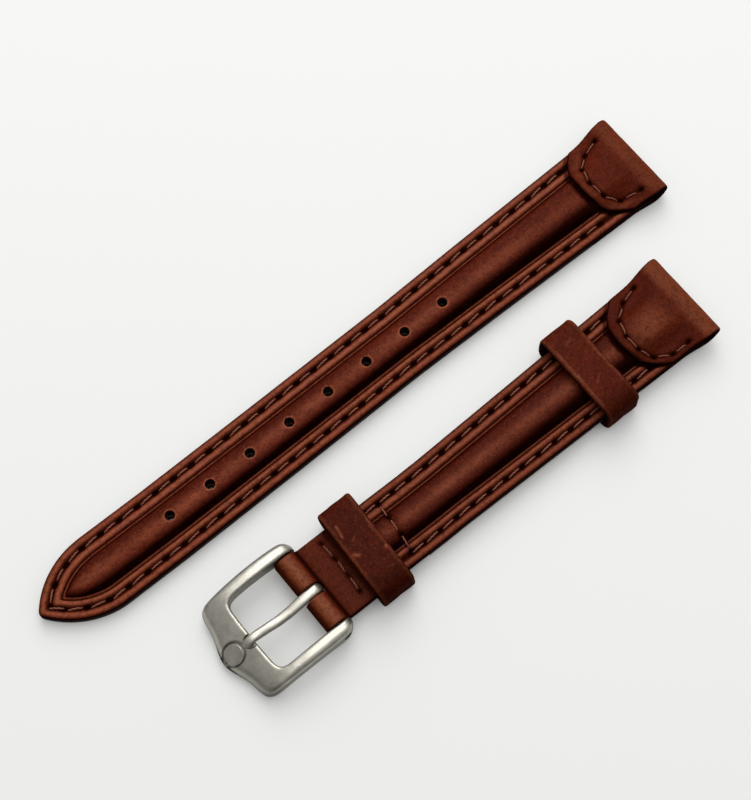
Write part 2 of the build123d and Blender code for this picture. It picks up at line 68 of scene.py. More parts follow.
BAR = (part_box("bar_tube")[0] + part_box("bar_tube")[1]) / 2 / MM
LUG_LOW, LUG_HIGH = box_mm("tail_lug_wrap")
LUG_HALF = (LUG_HIGH.y - LUG_LOW.y) / 2
SHOULDER_HALF, STRAP_HALF = LUG_HALF - 0.5, 5.65
FLARE_START, FLARE_END, TAPER_END = 1.6, 6.3, 46.0
TIP_LENGTH, TIP_SOFTNESS = 10.8, 0.35
TIP_RADIUS = (TIP_LENGTH ** 2 + STRAP_HALF ** 2) / (2 * STRAP_HALF)
LINING_TOP, STIFFENER_TOP, MARGIN_TOP = 0.9, 1.3, 2.3
WRAP_RADIUS, TUNNEL_RADIUS, WRAP_LEG = 1.95, 1.0, 14.0
WRAP_TOP, WRAP_WALL = 2 * WRAP_RADIUS, WRAP_RADIUS - TUNNEL_RADIUS
POCKET_START, PADDING_STOP, RIDGE_STOP, RIDGE_SHIFT = 3.1, 51.3, 58.3, 0.13
HOLE_RADIUS, LINING_HOLE_RADIUS, HOLE_PITCH, TIP_TO_HOLE = 0.75, 0.46, 7.06, 22.3
SEAM_INSET = 1.45
LANE_LEVEL, FOLD_ROW_LEVEL, BOBBIN_LEVEL, TAB_STITCH = 2.24, 2.22, 0.07, 1.9
FOLD_RADIUS, FOLD_THICKNESS, FOLD_RUN, FOLD_LEG = 1.9, 0.9, 9.5, 16.0
FOLD_TOP, FOLD_ARC = STIFFENER_TOP + FOLD_THICKNESS, math.pi * FOLD_RADIUS
SLOT_HALF, SLOT_REACH, SLOT_SHIFT = 0.9, 1.85, 0.28


# Shapes that both halves share

def smooth_step(value):
    value = np.clip(value, 0, 1)
    return value * value * (3 - 2 * value)


def soft_min(a, b, k):
    gap = np.clip(k - abs(a - b), 0, None) / k
    return np.minimum(a, b) - gap * gap * k / 4


def bump(value, middle, spread):
    return np.exp(-(((value - middle) / spread) ** 2))


def blurred(values, sigma, reach, **padding):
    """Evenly spaced values made smooth: sigma and reach count steps."""
    kernel = np.exp(-0.5 * (np.arange(-reach, reach + 1) / sigma) ** 2)
    padded = np.pad(values, reach, **(padding or {"mode": "edge"}))
    return np.convolve(padded, kernel / kernel.sum(), "valid")


def smooth_line(points, start, stop, step, spread):
    """Samples of a smooth line near a few points, for np.interp."""
    samples = np.arange(start, stop, step)
    return samples, blurred(np.interp(samples, *zip(*points)), spread / step, int(4 * spread / step))


def half_width(distance):
    """Half the width of the leather at a distance from the lug end, without the tip."""
    flare = smooth_step((distance - FLARE_START) / (FLARE_END - FLARE_START))
    taper = np.clip((distance - FLARE_END) / (TAPER_END - FLARE_END), 0, 1)
    return LUG_HALF - (LUG_HALF - SHOULDER_HALF) * flare - (SHOULDER_HALF - STRAP_HALF) * taper


def inset_of(distance, side, tip_at=None):
    """Distance of a point of the plan from the leather's edge."""
    if tip_at is None:
        return half_width(distance) - abs(side)
    run = np.clip(distance - (tip_at - TIP_LENGTH), 0, None)
    near, far = (TIP_RADIUS - np.hypot(run, way * abs(side) + TIP_RADIUS - STRAP_HALF) for way in (1, -1))
    return soft_min(near, far, TIP_SOFTNESS) + (half_width(distance) - STRAP_HALF)


def ripple(distance, side, size=1.0):
    """Slow unevenness of worked leather."""
    return size * (0.022 * np.sin(distance * 0.83 + 1.3 * np.sin(side * 0.61 + 0.4))
                   + 0.016 * np.sin(distance * 1.9 + side * 1.35 + 0.7)
                   + 0.01 * np.sin(distance * 3.7 - side * 2.2 + 2.1))


def plan_points(distance, side):
    return np.stack([np.ravel(distance), np.ravel(side)], -1)


def near_holes(distance, side, holes, spread):
    """How strongly each point of the plan lies at one of the needle holes, 0 to 1."""
    flat = plan_points(distance, side)
    best = np.full(len(flat), 1e9)
    for hole in holes:
        close = abs(flat[:, 0] - hole[0]) < 1.5
        gap = (flat[close, 0] - hole[0]) ** 2 + (flat[close, 1] - hole[1]) ** 2
        best[close] = np.minimum(best[close], gap)
    return np.exp(-best / spread ** 2).reshape(np.shape(distance))


def line_gap(points, distance, side):
    """Distance of each point of the plan from a line of points."""
    flat = plan_points(distance, side)
    best = np.full(len(flat), 1e9)
    for a, b in zip(points, points[1:]):
        along = b - a
        share = np.clip(((flat - a) @ along) / (along @ along), 0, 1)
        best = np.minimum(best, np.hypot(*(flat - a - share[:, None] * along).T))
    return best.reshape(np.shape(distance))


class Seam:
    """A row of stitches along a line of the plan, with its needle holes."""

    def __init__(self, points, pitch=None, anchors=(), point_hole=False):
        """Without a pitch the holes lie at the points. Otherwise they lie at the anchors' distances along the
        strap and a pitch apart from the last one on, and with a point hole also from there back to the first
        point."""
        self.points = np.array(points, float)
        steps = np.hypot(*np.diff(self.points, axis=0).T)
        self.run = np.concatenate([[0], np.cumsum(steps)])
        self.marks = self.run
        if pitch:
            places = [float(np.interp(-anchor, -self.points[:, 0], self.run)) for anchor in anchors]
            first = []
            if point_hole:
                spare = places[0] % pitch + (pitch if places[0] % pitch < 0.55 * pitch else 0)
                first = np.concatenate([np.linspace(0, spare, max(2, round(spare / pitch) + 1))[:-1],
                                        np.arange(spare, places[0] - 0.5 * pitch, pitch)])
            on = np.arange(places[-1] + pitch, self.run[-1] + 0.01, pitch)
            self.marks = np.concatenate([first, places, on])
        self.holes = self.at(self.marks)
        self.middles = (self.marks[1:] + self.marks[:-1]) / 2

    def at(self, run):
        return np.stack([np.interp(run, self.run, self.points[:, i]) for i in range(2)], -1)


def edge_line(tip_at, inset, start, stop, side):
    """The line at an inset from one edge, from the far end or the tip's point back to the lug end."""
    distances, arc = np.arange(start, stop, 0.25), []
    if tip_at is not None:
        arc_start, inner = tip_at - TIP_LENGTH, TIP_RADIUS - inset
        distances = distances[distances < arc_start]
        turns = np.linspace(0, math.acos((TIP_RADIUS - STRAP_HALF) / inner), 40)
        arc = [(arc_start + inner * math.sin(a), inner * math.cos(a) - TIP_RADIUS + STRAP_HALF)
               for a in turns]
    points = [(d, float(half_width(d)) - inset) for d in distances] + arc
    return [(d, w * side) for d, w in points[::-1]]


# The two halves

class Half:
    """One half of the strap. A place of its plan is a distance from the lug end and a side, + towards -Y."""

    def __init__(self, name, body, bow):
        self.name, self.body, self.bow = name, body, list(zip(*bow))
        low, high = box_mm(f"{name}_lug_wrap")
        self.origin = np.array([high.x, (high.y + low.y) / 2, low.z])
        self.tip_at, self.holes = None, []

    def take_seams(self, seams, tab_points, tab_edge):
        """Takes the half's seams, its tab's seam and its tab's front edge: side, distance."""
        self.seams, self.tab_seam = seams, Seam(tab_points)
        self.needle_holes = np.concatenate([seam.holes for seam in seams])
        sides = np.linspace(-7.2, 7.2, 289)
        soft, reach = np.hanning(15), 7
        line = np.pad(np.interp(sides, *zip(*tab_edge)), reach, mode="edge")
        self.tab_line = sides, np.convolve(line, soft / soft.sum(), "valid")

    def drift(self, distance):
        """How far the half bows aside."""
        return np.interp(distance, *self.bow)

    def place(self, distance, side, height):
        """Points in metres."""
        distance, side, height = np.broadcast_arrays(distance, side + self.drift(distance), height)
        x, y, z = self.origin
        return np.stack([x - distance, y - side, z + height], -1) * MM

    def plan(self, obj):
        """Distance, side and height of a finished mesh's vertices."""
        points = points_mm(obj)
        distance = self.origin[0] - points[:, 0]
        return distance, self.origin[1] - points[:, 1] - self.drift(distance), points[:, 2] - self.origin[2]

    def reach(self, node):
        """Distance of a CAD node's far end."""
        return self.origin[0] - box_mm(node)[0].x

    def inset(self, distance, side):
        return inset_of(distance, side, self.tip_at)

    def tab_front(self, side):
        """Distance of the tab's front edge."""
        return np.interp(side, *self.tab_line)


TAIL = Half("tail", "tail", [(0, -0.18), (8, -0.08), (30, -0.1), (50, 0.0), (70, 0.14), (88, 0.2),
                             (100, 0.06), (104, -0.08), (110, -0.36)])
SHORT = Half("short", "buckle_side", [(0, 0.4), (50, 0.4), (59, 0.24), (66, 0.16), (70, 0.0)])
TAIL_LENGTH = TAIL.reach("tail_upper") + 0.2
BAR_DISTANCE = SHORT.origin[0] - BAR.x
TAIL.tip_at = TAIL_LENGTH
TAIL.holes = [TAIL_LENGTH - TIP_TO_HOLE - HOLE_PITCH * number for number in range(8)]

# Each long seam starts at its far end, where the photograph shows its needle holes
TAIL.take_seams(
    [Seam(edge_line(TAIL_LENGTH, SEAM_INSET, 9.0, TAIL_LENGTH, side), pitch, [anchor], True)
     for side, pitch, anchor in ((1, 3.18, 68.8), (-1, 3.16, 67.6))],
    [(3.85, -5.1), (6.35, -4.45), (8.4, -2.95), (9.15, -0.45), (8.8, 2.3), (7.05, 4.3), (3.75, 5.05)],
    [(-7.0, 7.5), (-6.3, 8.0), (-5.6, 8.75), (-4.6, 9.6), (-3.5, 10.2), (-2.0, 10.6), (-0.5, 10.68),
     (1.2, 10.6), (2.8, 10.25), (4.0, 9.6), (5.0, 8.6), (5.8, 7.4), (6.4, 6.2), (7.0, 4.8)])
SHORT.take_seams(
    [Seam(edge_line(None, SEAM_INSET, 11.0, anchors[0] + 0.3, side), pitch, anchors)
     for side, pitch, anchors in ((1, 2.95, [54.95, 52.8, 50.0]), (-1, 3.07, [57.0, 54.2, 51.7, 48.7]))],
    [(5.6, -5.5), (8.3, -4.75), (10.8, -2.95), (11.75, -0.45), (11.7, 2.0), (10.45, 4.2), (7.95, 5.6),
     (5.1, 5.6)],
    [(-7.0, 9.0), (-6.2, 9.7), (-5.4, 10.7), (-4.4, 11.75), (-3.0, 12.7), (-1.5, 13.15), (0.2, 13.25),
     (2.0, 13.0), (3.4, 12.4), (4.6, 11.4), (5.6, 10.2), (6.3, 8.9), (7.0, 7.4)])
CROSS_SEAM = Seam([(54.25, -4.2), (54.45, -1.65), (54.7, 1.35), (54.95, 4.1)])
FOLD_SEAM = Seam([(63.85, -4.65), (63.72, -1.8), (63.75, 1.2), (63.95, 4.0)])

# Height over inset: the rolled edge, two rails with the stitched lane between them, the crease and its bead
MARGIN_CURVE = smooth_line([
    (0, 2.02), (0.06, 2.14), (0.16, 2.22), (0.34, 2.285), (0.62, 2.315), (0.86, 2.29), (1.02, 2.2),
    (1.14, 2.06), (1.26, 1.975), (1.45, 1.95), (1.62, 1.975), (1.74, 2.06), (1.88, 2.22), (2.04, 2.31),
    (2.28, 2.35), (2.5, 2.33), (2.64, 2.26), (2.74, 2.15), (2.82, 2.13), (2.92, 2.2), (3.02, 2.27),
    (3.1, 2.25), (3.18, 2.19), (3.26, 2.2), (3.4, 2.24), (9, 2.24)], -1, 10, 0.01, 0.035)
RIDGE_CURVE = smooth_line([
    (3.2, 0), (3.3, 0.14), (3.45, 0.5), (3.65, 0.8), (3.95, 1.02), (4.35, 1.15), (4.8, 1.215), (5.3, 1.25),
    (9, 1.27)], -1, 10, 0.01, 0.07)


def crease_inset(half, distance, side):
    """Inset for the crease, the bead and the ridge, which lie a little off the middle."""
    shift = RIDGE_SHIFT * smooth_step((TAIL_LENGTH - 1 - distance) / 5) if half is TAIL else RIDGE_SHIFT
    return half.inset(distance, side - shift)


def level_at(height):
    """One height everywhere over the plan."""
    return lambda distance, side: np.full(np.shape(distance), height)


def row_gap(distance, side):
    """Distance beyond the row of stitches across the short upper."""
    return distance - np.interp(side, [-4.2, 4.2], [54.25, 54.95])


def upper_height(half, distance, side):
    """Height of the upper's top over the plan."""
    inset, ridge_inset = half.inset(distance, side), crease_inset(half, distance, side)
    share = smooth_step((inset - 2.0) / 0.3)
    height = np.interp(inset * (1 - share) + ridge_inset * share, *MARGIN_CURVE)
    rise, past_row = np.interp(ridge_inset, *RIDGE_CURVE), row_gap(distance, side)
    if half is SHORT:
        rise = rise * (0.1 + 0.9 * smooth_step((RIDGE_STOP - distance) / 1.5))
        rise = rise * (1 - 0.36 * bump(past_row, 0, 0.75) - 0.14 * smooth_step(past_row))
    on_ridge = smooth_step((ridge_inset - 3.3) / 1.5)
    height = height + rise + ripple(distance, side) * (0.35 + 1.3 * on_ridge)
    for depth, spread in ((0.26, 0.42), (0.05, 1.0)):
        height = height - depth * near_holes(distance, side, half.needle_holes, spread)
    for place in half.holes:
        away = np.hypot(distance - place, side)
        height = height - 0.13 * np.exp(-np.clip(away - HOLE_RADIUS, 0, None) / 0.22) * (away < 3)
    if half is SHORT:
        height = height - 0.12 * bump(past_row, 0, 0.28) * smooth_step((4.3 - abs(side)) / 0.4)
        height = height - 0.16 * near_holes(distance, side, CROSS_SEAM.holes, 0.4)
    return height


def pocket_height(half, distance, side):
    """Underside of the upper: flat, with room for the padding."""
    inset = half.inset(distance, side)
    if half is SHORT:
        rounded = soft_min(inset, 3.2 + (PADDING_STOP + 1 - distance), 1.2)
        inset = np.where(distance < PADDING_STOP + 3, rounded, 0)
    rise = np.interp(inset, [3.9, 4.05, 4.3, 4.7, 9], [0, 0.6, 1.0, 1.3, 1.4])
    return STIFFENER_TOP + rise * smooth_step((distance - POCKET_START - 0.4) / 0.6)


# Meshes

def new_object(name, points, faces=()):
    mesh = bpy.data.meshes.new(name)
    mesh.from_pydata([tuple(p) for p in points], [], faces)
    obj = bpy.data.objects.new(name, mesh)
    bpy.context.scene.collection.objects.link(obj)
    return obj


def new_piece(name, points, faces, material, body):
    obj = new_object(name, points, faces)
    obj.data.validate()
    tidy_mesh(obj)
    finish_piece(obj, material, body)
    return obj


def tidy_mesh(obj, smooth=True, merge=2e-6):
    """Merges doubles, turns the faces outwards and shades them smooth where they are not sharp."""
    work = bmesh.new()
    work.from_mesh(obj.data)
    bmesh.ops.remove_doubles(work, verts=work.verts, dist=merge)
    bmesh.ops.dissolve_degenerate(work, edges=work.edges, dist=merge / 2)
    bmesh.ops.delete(work, geom=[v for v in work.verts if not v.link_faces], context="VERTS")
    bmesh.ops.recalc_face_normals(work, faces=work.faces)
    if smooth:
        for face in work.faces:
            face.smooth = True
        for edge in work.edges:
            if len(edge.link_faces) == 2 and edge.calc_face_angle(0) > math.radians(52):
                edge.smooth = False
    work.to_mesh(obj.data)
    work.free()


def finish_piece(obj, material, body):
    obj.data.materials.clear()
    obj.data.materials.append(material)
    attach(obj, body)


def keep_result(obj):
    """Keeps what an object's modifier makes as its plain mesh."""
    obj.update_tag()
    bpy.context.view_layer.update()
    result = bpy.data.meshes.new_from_object(obj.evaluated_get(bpy.context.evaluated_depsgraph_get()))
    obj.modifiers.clear()
    obj.data = result


def float_attribute(mesh, name, values):
    attribute = mesh.attributes.new(name, "FLOAT", "POINT")
    attribute.data.foreach_set("value", np.full(len(mesh.vertices), values, np.float32))


def points_mm(obj):
    return np.array([v.co for v in obj.data.vertices]).reshape(-1, 3) / MM


def steepness(obj):
    return 1 - np.abs(np.array([v.normal.z for v in obj.data.vertices]))


def grid_faces(rows, columns, start=0, close=False):
    """Faces of a grid of points. A closed one joins its last column to its first."""
    faces = []
    for i in range(rows - 1):
        a, d = start + i * columns, start + (i + 1) * columns
        for j in range(columns - (0 if close else 1)):
            k = (j + 1) % columns
            faces.append((a + j, a + k, d + k, d + j))
    return faces


def tube_faces(rows, columns):
    """Faces of a tube with its two ends."""
    last = (rows - 1) * columns
    return grid_faces(rows, columns, close=True) + [tuple(range(columns)), tuple(range(last, last + columns))]


def wall_faces(upper, lower):
    """Faces between two rows of points."""
    upper, lower = [list(map(int, row)) for row in (upper, lower)]
    return list(zip(upper, upper[1:], lower[1:], lower))


def strip_faces(rows, columns, start=0, walled=lambda row: True):
    """Faces of a thick strip: both sheets, the walls along its sides and those at its ends. The wall along
    the first column stands where walled says so."""
    along, across, under = start + columns * np.arange(rows), np.arange(columns), rows * columns
    near = wall_faces(along, along + under)
    faces = grid_faces(rows, columns, start) + grid_faces(rows, columns, start + under)
    faces += [face for row, face in enumerate(near) if walled(row)]
    faces += wall_faces(along + columns - 1, along + columns - 1 + under)
    for end in (along[0], along[-1]):
        faces += wall_faces(end + across, end + across + under)
    return faces


def rays(half, start, stop, step, hole_radius):
    """Section lines of a layer, from the middle outwards: distance, gap at the middle, turn at the tip."""
    def onwards(position, until):
        return list(np.linspace(position, until, max(1, round((until - position) / step)) + 1)[1:])

    stop_at = half.tip_at - TIP_LENGTH if half.tip_at else stop
    marks, position = [start], start
    for place in sorted(half.holes):
        marks += onwards(position, place - hole_radius)
        marks += [place - hole_radius * math.cos(a) for a in np.linspace(0, math.pi, 15)[1:]]
        position = place + hole_radius
    lines = []
    for mark in marks + onwards(position, stop_at):
        inside = max((hole_radius ** 2 - (mark - place) ** 2 for place in half.holes), default=0)
        lines.append((mark, math.sqrt(inside) if inside > 1e-9 else 0.0, math.pi / 2))
    if half.tip_at:
        lines += [(stop_at, 0.0, a) for a in np.linspace(math.pi / 2, 0, 47)[1:]]
    return lines


def layer_points(half, lines, insets, middle_from):
    """Plan places of one side's vertices: rows along the strap, columns from the edge to the middle."""
    outer = np.array([inset for inset in insets if inset < middle_from] + [middle_from])
    shares = np.array([(e - middle_from) / (insets[-1] - middle_from) for e in insets if e >= middle_from])
    distance, side = [], []
    for mark, gap, turn in lines:
        forward, aside = math.cos(turn), math.sin(turn)
        low, high = np.zeros(len(outer)), np.full(len(outer), 14.0)
        for _ in range(34):
            radius = (low + high) / 2
            inner = half.inset(mark + forward * radius, aside * radius) > outer
            low, high = np.where(inner, radius, low), np.where(inner, high, radius)
        radii = np.concatenate([low[:-1], low[-1] + (gap - low[-1]) * shares])
        distance.append(mark + forward * radii)
        side.append(aside * radii)
    return np.array(distance), np.array(side)


def build_layer(name, half, span, insets, middle_from, top, under, rim, material,
                hole_radius=HOLE_RADIUS):
    """A closed sheet between two heights over the plan, both sides of it, with its holes. The span is its
    start, its stop and the step between its sections, and the rim holds the shares of its height that get
    one more edge."""
    lines = rays(half, *span, hole_radius)
    distance, side = layer_points(half, lines, insets, middle_from)
    rows, columns = distance.shape
    across, last = np.arange(columns), columns - 1
    points, faces = [], []
    for way in (1, -1):
        high, low = top(distance, side * way), under(distance, side * way)
        edge_high, edge_low = high[:, :1], low[:, :1]
        sheets = [(distance, side, high)]
        sheets += [(distance[:, :1], side[:, :1], edge_low + (edge_high - edge_low) * share) for share in rim]
        sheets.append((distance, side, low))
        walls = []
        for d, w, height in sheets:
            walls.append(len(points) + np.arange(rows) * d.shape[1])
            points += list(half.place(d, w * way, height).reshape(-1, 3))
        first, second = walls[0], walls[-1]
        faces += grid_faces(rows, columns, int(first[0])) + grid_faces(rows, columns, int(second[0]))
        for upper, lower in zip(walls, walls[1:]):
            faces += wall_faces(upper, lower)
        middle = wall_faces(first + last, second + last)
        faces += [face for i, face in enumerate(middle) if lines[i][1] > 0 or lines[i + 1][1] > 0]
        for row in [0] + ([] if half.tip_at else [rows - 1]):
            faces += wall_faces(first[row] + across, second[row] + across)
    return new_piece(name, points, faces, material, half.body)


# Materials

class Expression:
    """A socket of a shader tree. Adding, scaling and comparing it adds the Math nodes for it."""

    def __init__(self, tree, socket):
        self.tree, self.socket = tree, socket

    def math(self, operation, other):
        return self.tree.node("ShaderNodeMath", {"operation": operation}, self, other)

    def __add__(self, other):
        return self.math("ADD", other)

    def __sub__(self, other):
        return self.math("SUBTRACT", other)

    def __rsub__(self, other):
        return self * -1 + other

    def __mul__(self, other):
        return self.math("MULTIPLY", other)

    __radd__, __rmul__ = __add__, __mul__

    def least(self, other):
        return self.math("MINIMUM", other)

    def between(self, low, high):
        """0 below low, 1 above high, and smooth in between."""
        limits = {"From Min": low, "From Max": high}
        return self.tree.node("ShaderNodeMapRange", {"interpolation_type": "SMOOTHSTEP"}, Value=self, **limits)


class Finish:
    """A material's tree: one method adds any node, and the principled shader's own sockets take constants."""

    def __init__(self, name, roughness=0.5, metallic=0.0, specular=0.5, coat_roughness=0.03):
        self.material = bpy.data.materials.new(name)
        self.material.use_nodes = True
        self.nodes = self.material.node_tree.nodes
        self.links = self.material.node_tree.links
        self.shader = self.nodes["Principled BSDF"]
        for key, value in (("Roughness", roughness), ("Metallic", metallic), ("Specular IOR Level", specular),
                           ("Coat Roughness", coat_roughness)):
            self.set(key, value)

    def plug(self, socket, value):
        if isinstance(value, Expression):
            self.links.new(value.socket, socket)
        else:
            socket.default_value = value

    def set(self, key, value):
        self.plug(self.shader.inputs[key], value)

    def node(self, kind, settings=None, *values, output=0, **named):
        node = self.nodes.new(kind)
        for key, value in (settings or {}).items():
            setattr(node, key, value)
        for key, value in [*enumerate(values), *named.items()]:
            self.plug(node.inputs[key], value)
        return Expression(self, node.outputs[output])

    def position(self):
        return self.node("ShaderNodeTexCoord", output="Object")

    def stretched(self, scale, turn=0.0):
        return self.node("ShaderNodeMapping", None, Vector=self.position(), Scale=scale,
                         Rotation=(0, 0, turn))

    def noise(self, scale, detail, rough, vector=None, distortion=0.0):
        return self.node("ShaderNodeTexNoise", None, Vector=vector or self.position(), Scale=scale,
                         Detail=detail, Roughness=rough, Distortion=distortion)

    def attribute(self, name):
        return self.node("ShaderNodeAttribute", {"attribute_name": name}, output="Fac")

    def mix(self, factor, first, second):
        node = self.nodes.new("ShaderNodeMix")
        node.data_type = "RGBA"
        self.plug(node.inputs[0], factor)
        for index, value in ((6, first), (7, second)):
            self.plug(node.inputs[index], value if isinstance(value, Expression) else (*value, 1))
        return Expression(self, node.outputs[2])

    def relief(self, height, distance, strength):
        bumps = self.node("ShaderNodeBump", None, Strength=strength, Distance=distance, Height=height)
        self.set("Normal", bumps)

    def shine_through(self, colour, share):
        """Lets a share of the plain colour through the shadows, as the camera sees it."""
        glow = self.nodes.new("ShaderNodeEmission")
        self.links.new(colour.socket, glow.inputs["Color"])
        seen = self.node("ShaderNodeLightPath", output="Is Camera Ray")
        seen = seen * self.node("ShaderNodeAmbientOcclusion", {"samples": 8}, Distance=0.006, output="AO")
        blend = self.nodes.new("ShaderNodeMixShader")
        for socket, source in enumerate(((seen * share).socket, self.shader.outputs[0], glow.outputs[0])):
            self.links.new(source, blend.inputs[socket])
        self.links.new(blend.outputs[0], self.nodes["Material Output"].inputs["Surface"])


def times(colour, share):
    return tuple(min(c * share, 1) for c in colour)


def leather_finish(name, deep, mid, bright, roughness, pore, gloss):
    """Dyed calf: cloudy colour and fine pores. Its attributes move the colour at each point towards the bright
    colour, for real wear and for painted highlights; towards a dark one, for compressed leather and for
    painted shade; and to black-brown, for painted edges and for painted shade on hole walls and in the lug
    tunnels. A further attribute shifts the tone between the deep and the middle colour, and carries a painted
    highlight on the fold's roll and the lug ends."""
    finish = Finish(name, specular=0.0, coat_roughness=0.4)
    cloud = finish.noise(120, 5, 0.6)
    drag = finish.noise(260, 4, 0.6, finish.stretched((0.22, 1.0, 1.0)))
    fine, blot, speck = (finish.noise(*sizes) for sizes in ((1500, 3, 0.6), (620, 3, 0.7), (3400, 2, 0.5)))
    pores = finish.node("ShaderNodeTexVoronoi", None, Vector=finish.stretched((0.8, 1.0, 1.0)), Scale=2600)
    rubbed, pressed, paint, glow = (finish.attribute(key) for key in ("rubbed", "pressed", "paint", "glow"))
    tone = cloud.between(0.3, 0.7) * 0.3 + drag.between(0.32, 0.68) * 0.2 + blot.between(0.32, 0.68) * 0.2
    colour = finish.mix(tone + fine.between(0.36, 0.64) * 0.3 + glow, deep, mid)
    lift = (rubbed * (0.25 + blot * 0.75 + fine * 0.7)).least(1.0)
    # Towards the bright colour where worn and where highlights are painted, towards the dark one where
    # compressed and where shade is painted, and to black-brown on painted edges and where shade is painted in
    # holes and tunnels.
    for factor, to in ((lift, bright), (speck.between(0.52, 0.72) * 0.2, bright),
                       (speck.between(0.5, 0.3) * 0.4, times(deep, 0.6)),
                       (fine.between(0.5, 0.32) * 0.3, times(deep, 0.5)),
                       (pressed * (0.86 + blot * 0.28), times(deep, 0.12)), (paint, (0.009, 0.0025, 0.002))):
        colour = finish.mix(factor, colour, to)
    finish.set("Base Color", colour)
    finish.set("Roughness", roughness + fine * 0.22 - 0.11 + pressed * 0.2 - rubbed * 0.04)
    finish.set("Coat Weight", (rubbed * rubbed * 0.7 + 0.22) * (1 - pressed) * (1 - paint) * gloss)
    grain = pores.between(0.0, 0.55) * 0.4 + fine * 0.9 + speck * 0.3 + blot * 0.9 + drag * 0.5
    finish.relief(grain * pore, 0.00007, 0.6)
    return finish.material


def thread_finish():
    """Waxed twisted thread."""
    finish = Finish("stitching_thread", specular=0.2)
    fibre = finish.noise(5200, 2, 0.6)
    colour = finish.mix(finish.attribute("twist"), (0.07, 0.018, 0.01), (0.29, 0.098, 0.06))
    finish.set("Base Color", finish.mix(fibre.between(0.45, 0.8) * 0.5, colour, (0.33, 0.125, 0.08)))
    finish.relief(fibre, 0.00003, 0.4)
    return finish.material


def steel_finish(name, colour, roughness, brushed=False):
    """Bead-blasted or drawn steel: fine grain in the gloss and the relief."""
    finish = Finish(name, metallic=1.0)
    grit = finish.noise(4200, 3, 0.7)
    drift = finish.noise(700, 4, 0.6, finish.stretched((1.0, 0.06, 1.0)) if brushed else None)
    scuff = finish.noise(2600, 2, 0.6, finish.stretched((0.35, 1.0, 1.0), 0.5))
    tone = finish.mix(drift.between(0.3, 0.7), times(colour, 0.84), times(colour, 1.06))
    tone = finish.mix(scuff.between(0.5, 0.75) * 0.35, tone, times(colour, 0.7))
    tone = finish.mix(grit.between(0.5, 0.8) * 0.3, tone, times(colour, 0.66))
    finish.set("Base Color", finish.mix(finish.attribute("shade"), tone, times(colour, 0.14)))
    finish.set("Roughness", roughness - 0.08 + drift * 0.12 + grit * 0.08)
    finish.relief(grit + drift * 0.8 + scuff * 0.6, 0.00003, 0.5)
    return finish.material


def fibre_finish(name, low, high, scale, roughness=0.85):
    """Felt, board or suede: matted fibres, black-brown where the edges are painted and where shade is painted
    on the walls of the holes.
    """
    finish = Finish(name, roughness=roughness, specular=0.15)
    mat, cloud = finish.noise(scale, 6, 0.7, distortion=1.2), finish.noise(scale / 9, 3, 0.5)
    colour = finish.mix((mat * 0.7 + cloud * 0.3).between(0.35, 0.65), low, high)
    finish.set("Base Color", finish.mix(finish.attribute("paint"), colour, (0.014, 0.005, 0.004)))
    finish.relief(mat, 0.00012, 0.6)
    return finish.material


materials = {}


def make_materials(looks):
    upper = looks.leather_deep, looks.leather, looks.leather_wear_and_highlight
    tab = looks.tab_deep, looks.tab, looks.tab_wear_and_highlight
    loop = times(looks.tab_deep, 0.75), times(looks.tab, 0.95), looks.tab_wear_and_highlight
    for key, colours, *feel in (("upper", upper, 0.42, 1.0, 0.26), ("tab", tab, 0.46, 0.9, 0.22),
                                ("loop", loop, 0.46, 1.5, 0.22), ("fold", tab, 0.46, 0.9, 0.22)):
        materials[key] = leather_finish(f"{key}_leather", *(tuple(c) for c in colours), *feel)
    materials["lining"] = fibre_finish("lining_leather", (0.2, 0.095, 0.05), (0.3, 0.155, 0.085), 1500, 0.75)
    materials["padding"] = fibre_finish("padding_felt", (0.42, 0.38, 0.32), (0.6, 0.56, 0.48), 1200)
    materials["stiffener"] = fibre_finish("stiffener_board", (0.06, 0.028, 0.018), (0.12, 0.06, 0.04), 1800)
    materials["thread"] = thread_finish()
    darker = times(looks.steel, 0.95)
    materials["buckle"] = steel_finish("satin_steel", looks.steel, looks.steel_roughness)
    materials["badge"] = steel_finish("badge_steel", darker, looks.steel_roughness - 0.02)
    materials["bar"] = steel_finish("drawn_steel", darker, 0.28, True)


def mark_leather(obj, **marks):
    """Writes the marks that the leather's material reads."""
    for key, values in marks.items():
        float_attribute(obj.data, key, values if key == "glow" else np.clip(values, 0, 1))


# Uppers and what lies under them

UPPER_INSETS = [0, 0.05, 0.12, 0.22, 0.36, 0.5, 0.66, 0.82, 0.95, 1.05, 1.14, 1.23, 1.34, 1.45, 1.57, 1.68,
                1.78, 1.88, 2.0, 2.14, 2.28, 2.42, 2.52, 2.6, 2.67, 2.74, 2.81, 2.88, 2.95, 3.02, 3.09, 3.16,
                3.23, 3.3, 3.37, 3.44, 3.52, 3.62, 3.74, 3.9, 4.08, 4.3, 4.45, 4.7, 4.95, 5.2, 5.42, 5.65]
PADDING_INSETS = [4.06, 4.12, 4.2, 4.35, 4.5, 4.7, 4.95, 5.3, 5.65]
FLAT_INSETS = [1.0, 1.12, 1.28, 1.45, 1.62, 1.78, 1.9, 2.6, 3.4, 4.2, 4.9, 5.65]


def build_upper(half, stop, step):
    """An upper with its rails, lanes, creases, needle holes and padded ridge."""
    obj = build_layer(f"{half.name}_upper_leather", half, (POCKET_START, stop, step), UPPER_INSETS, 4.2,
                      lambda d, w: upper_height(half, d, w), lambda d, w: pocket_height(half, d, w),
                      (0.85, 0.5, 0.12), materials["upper"])
    mark_upper(obj, half)
    return obj


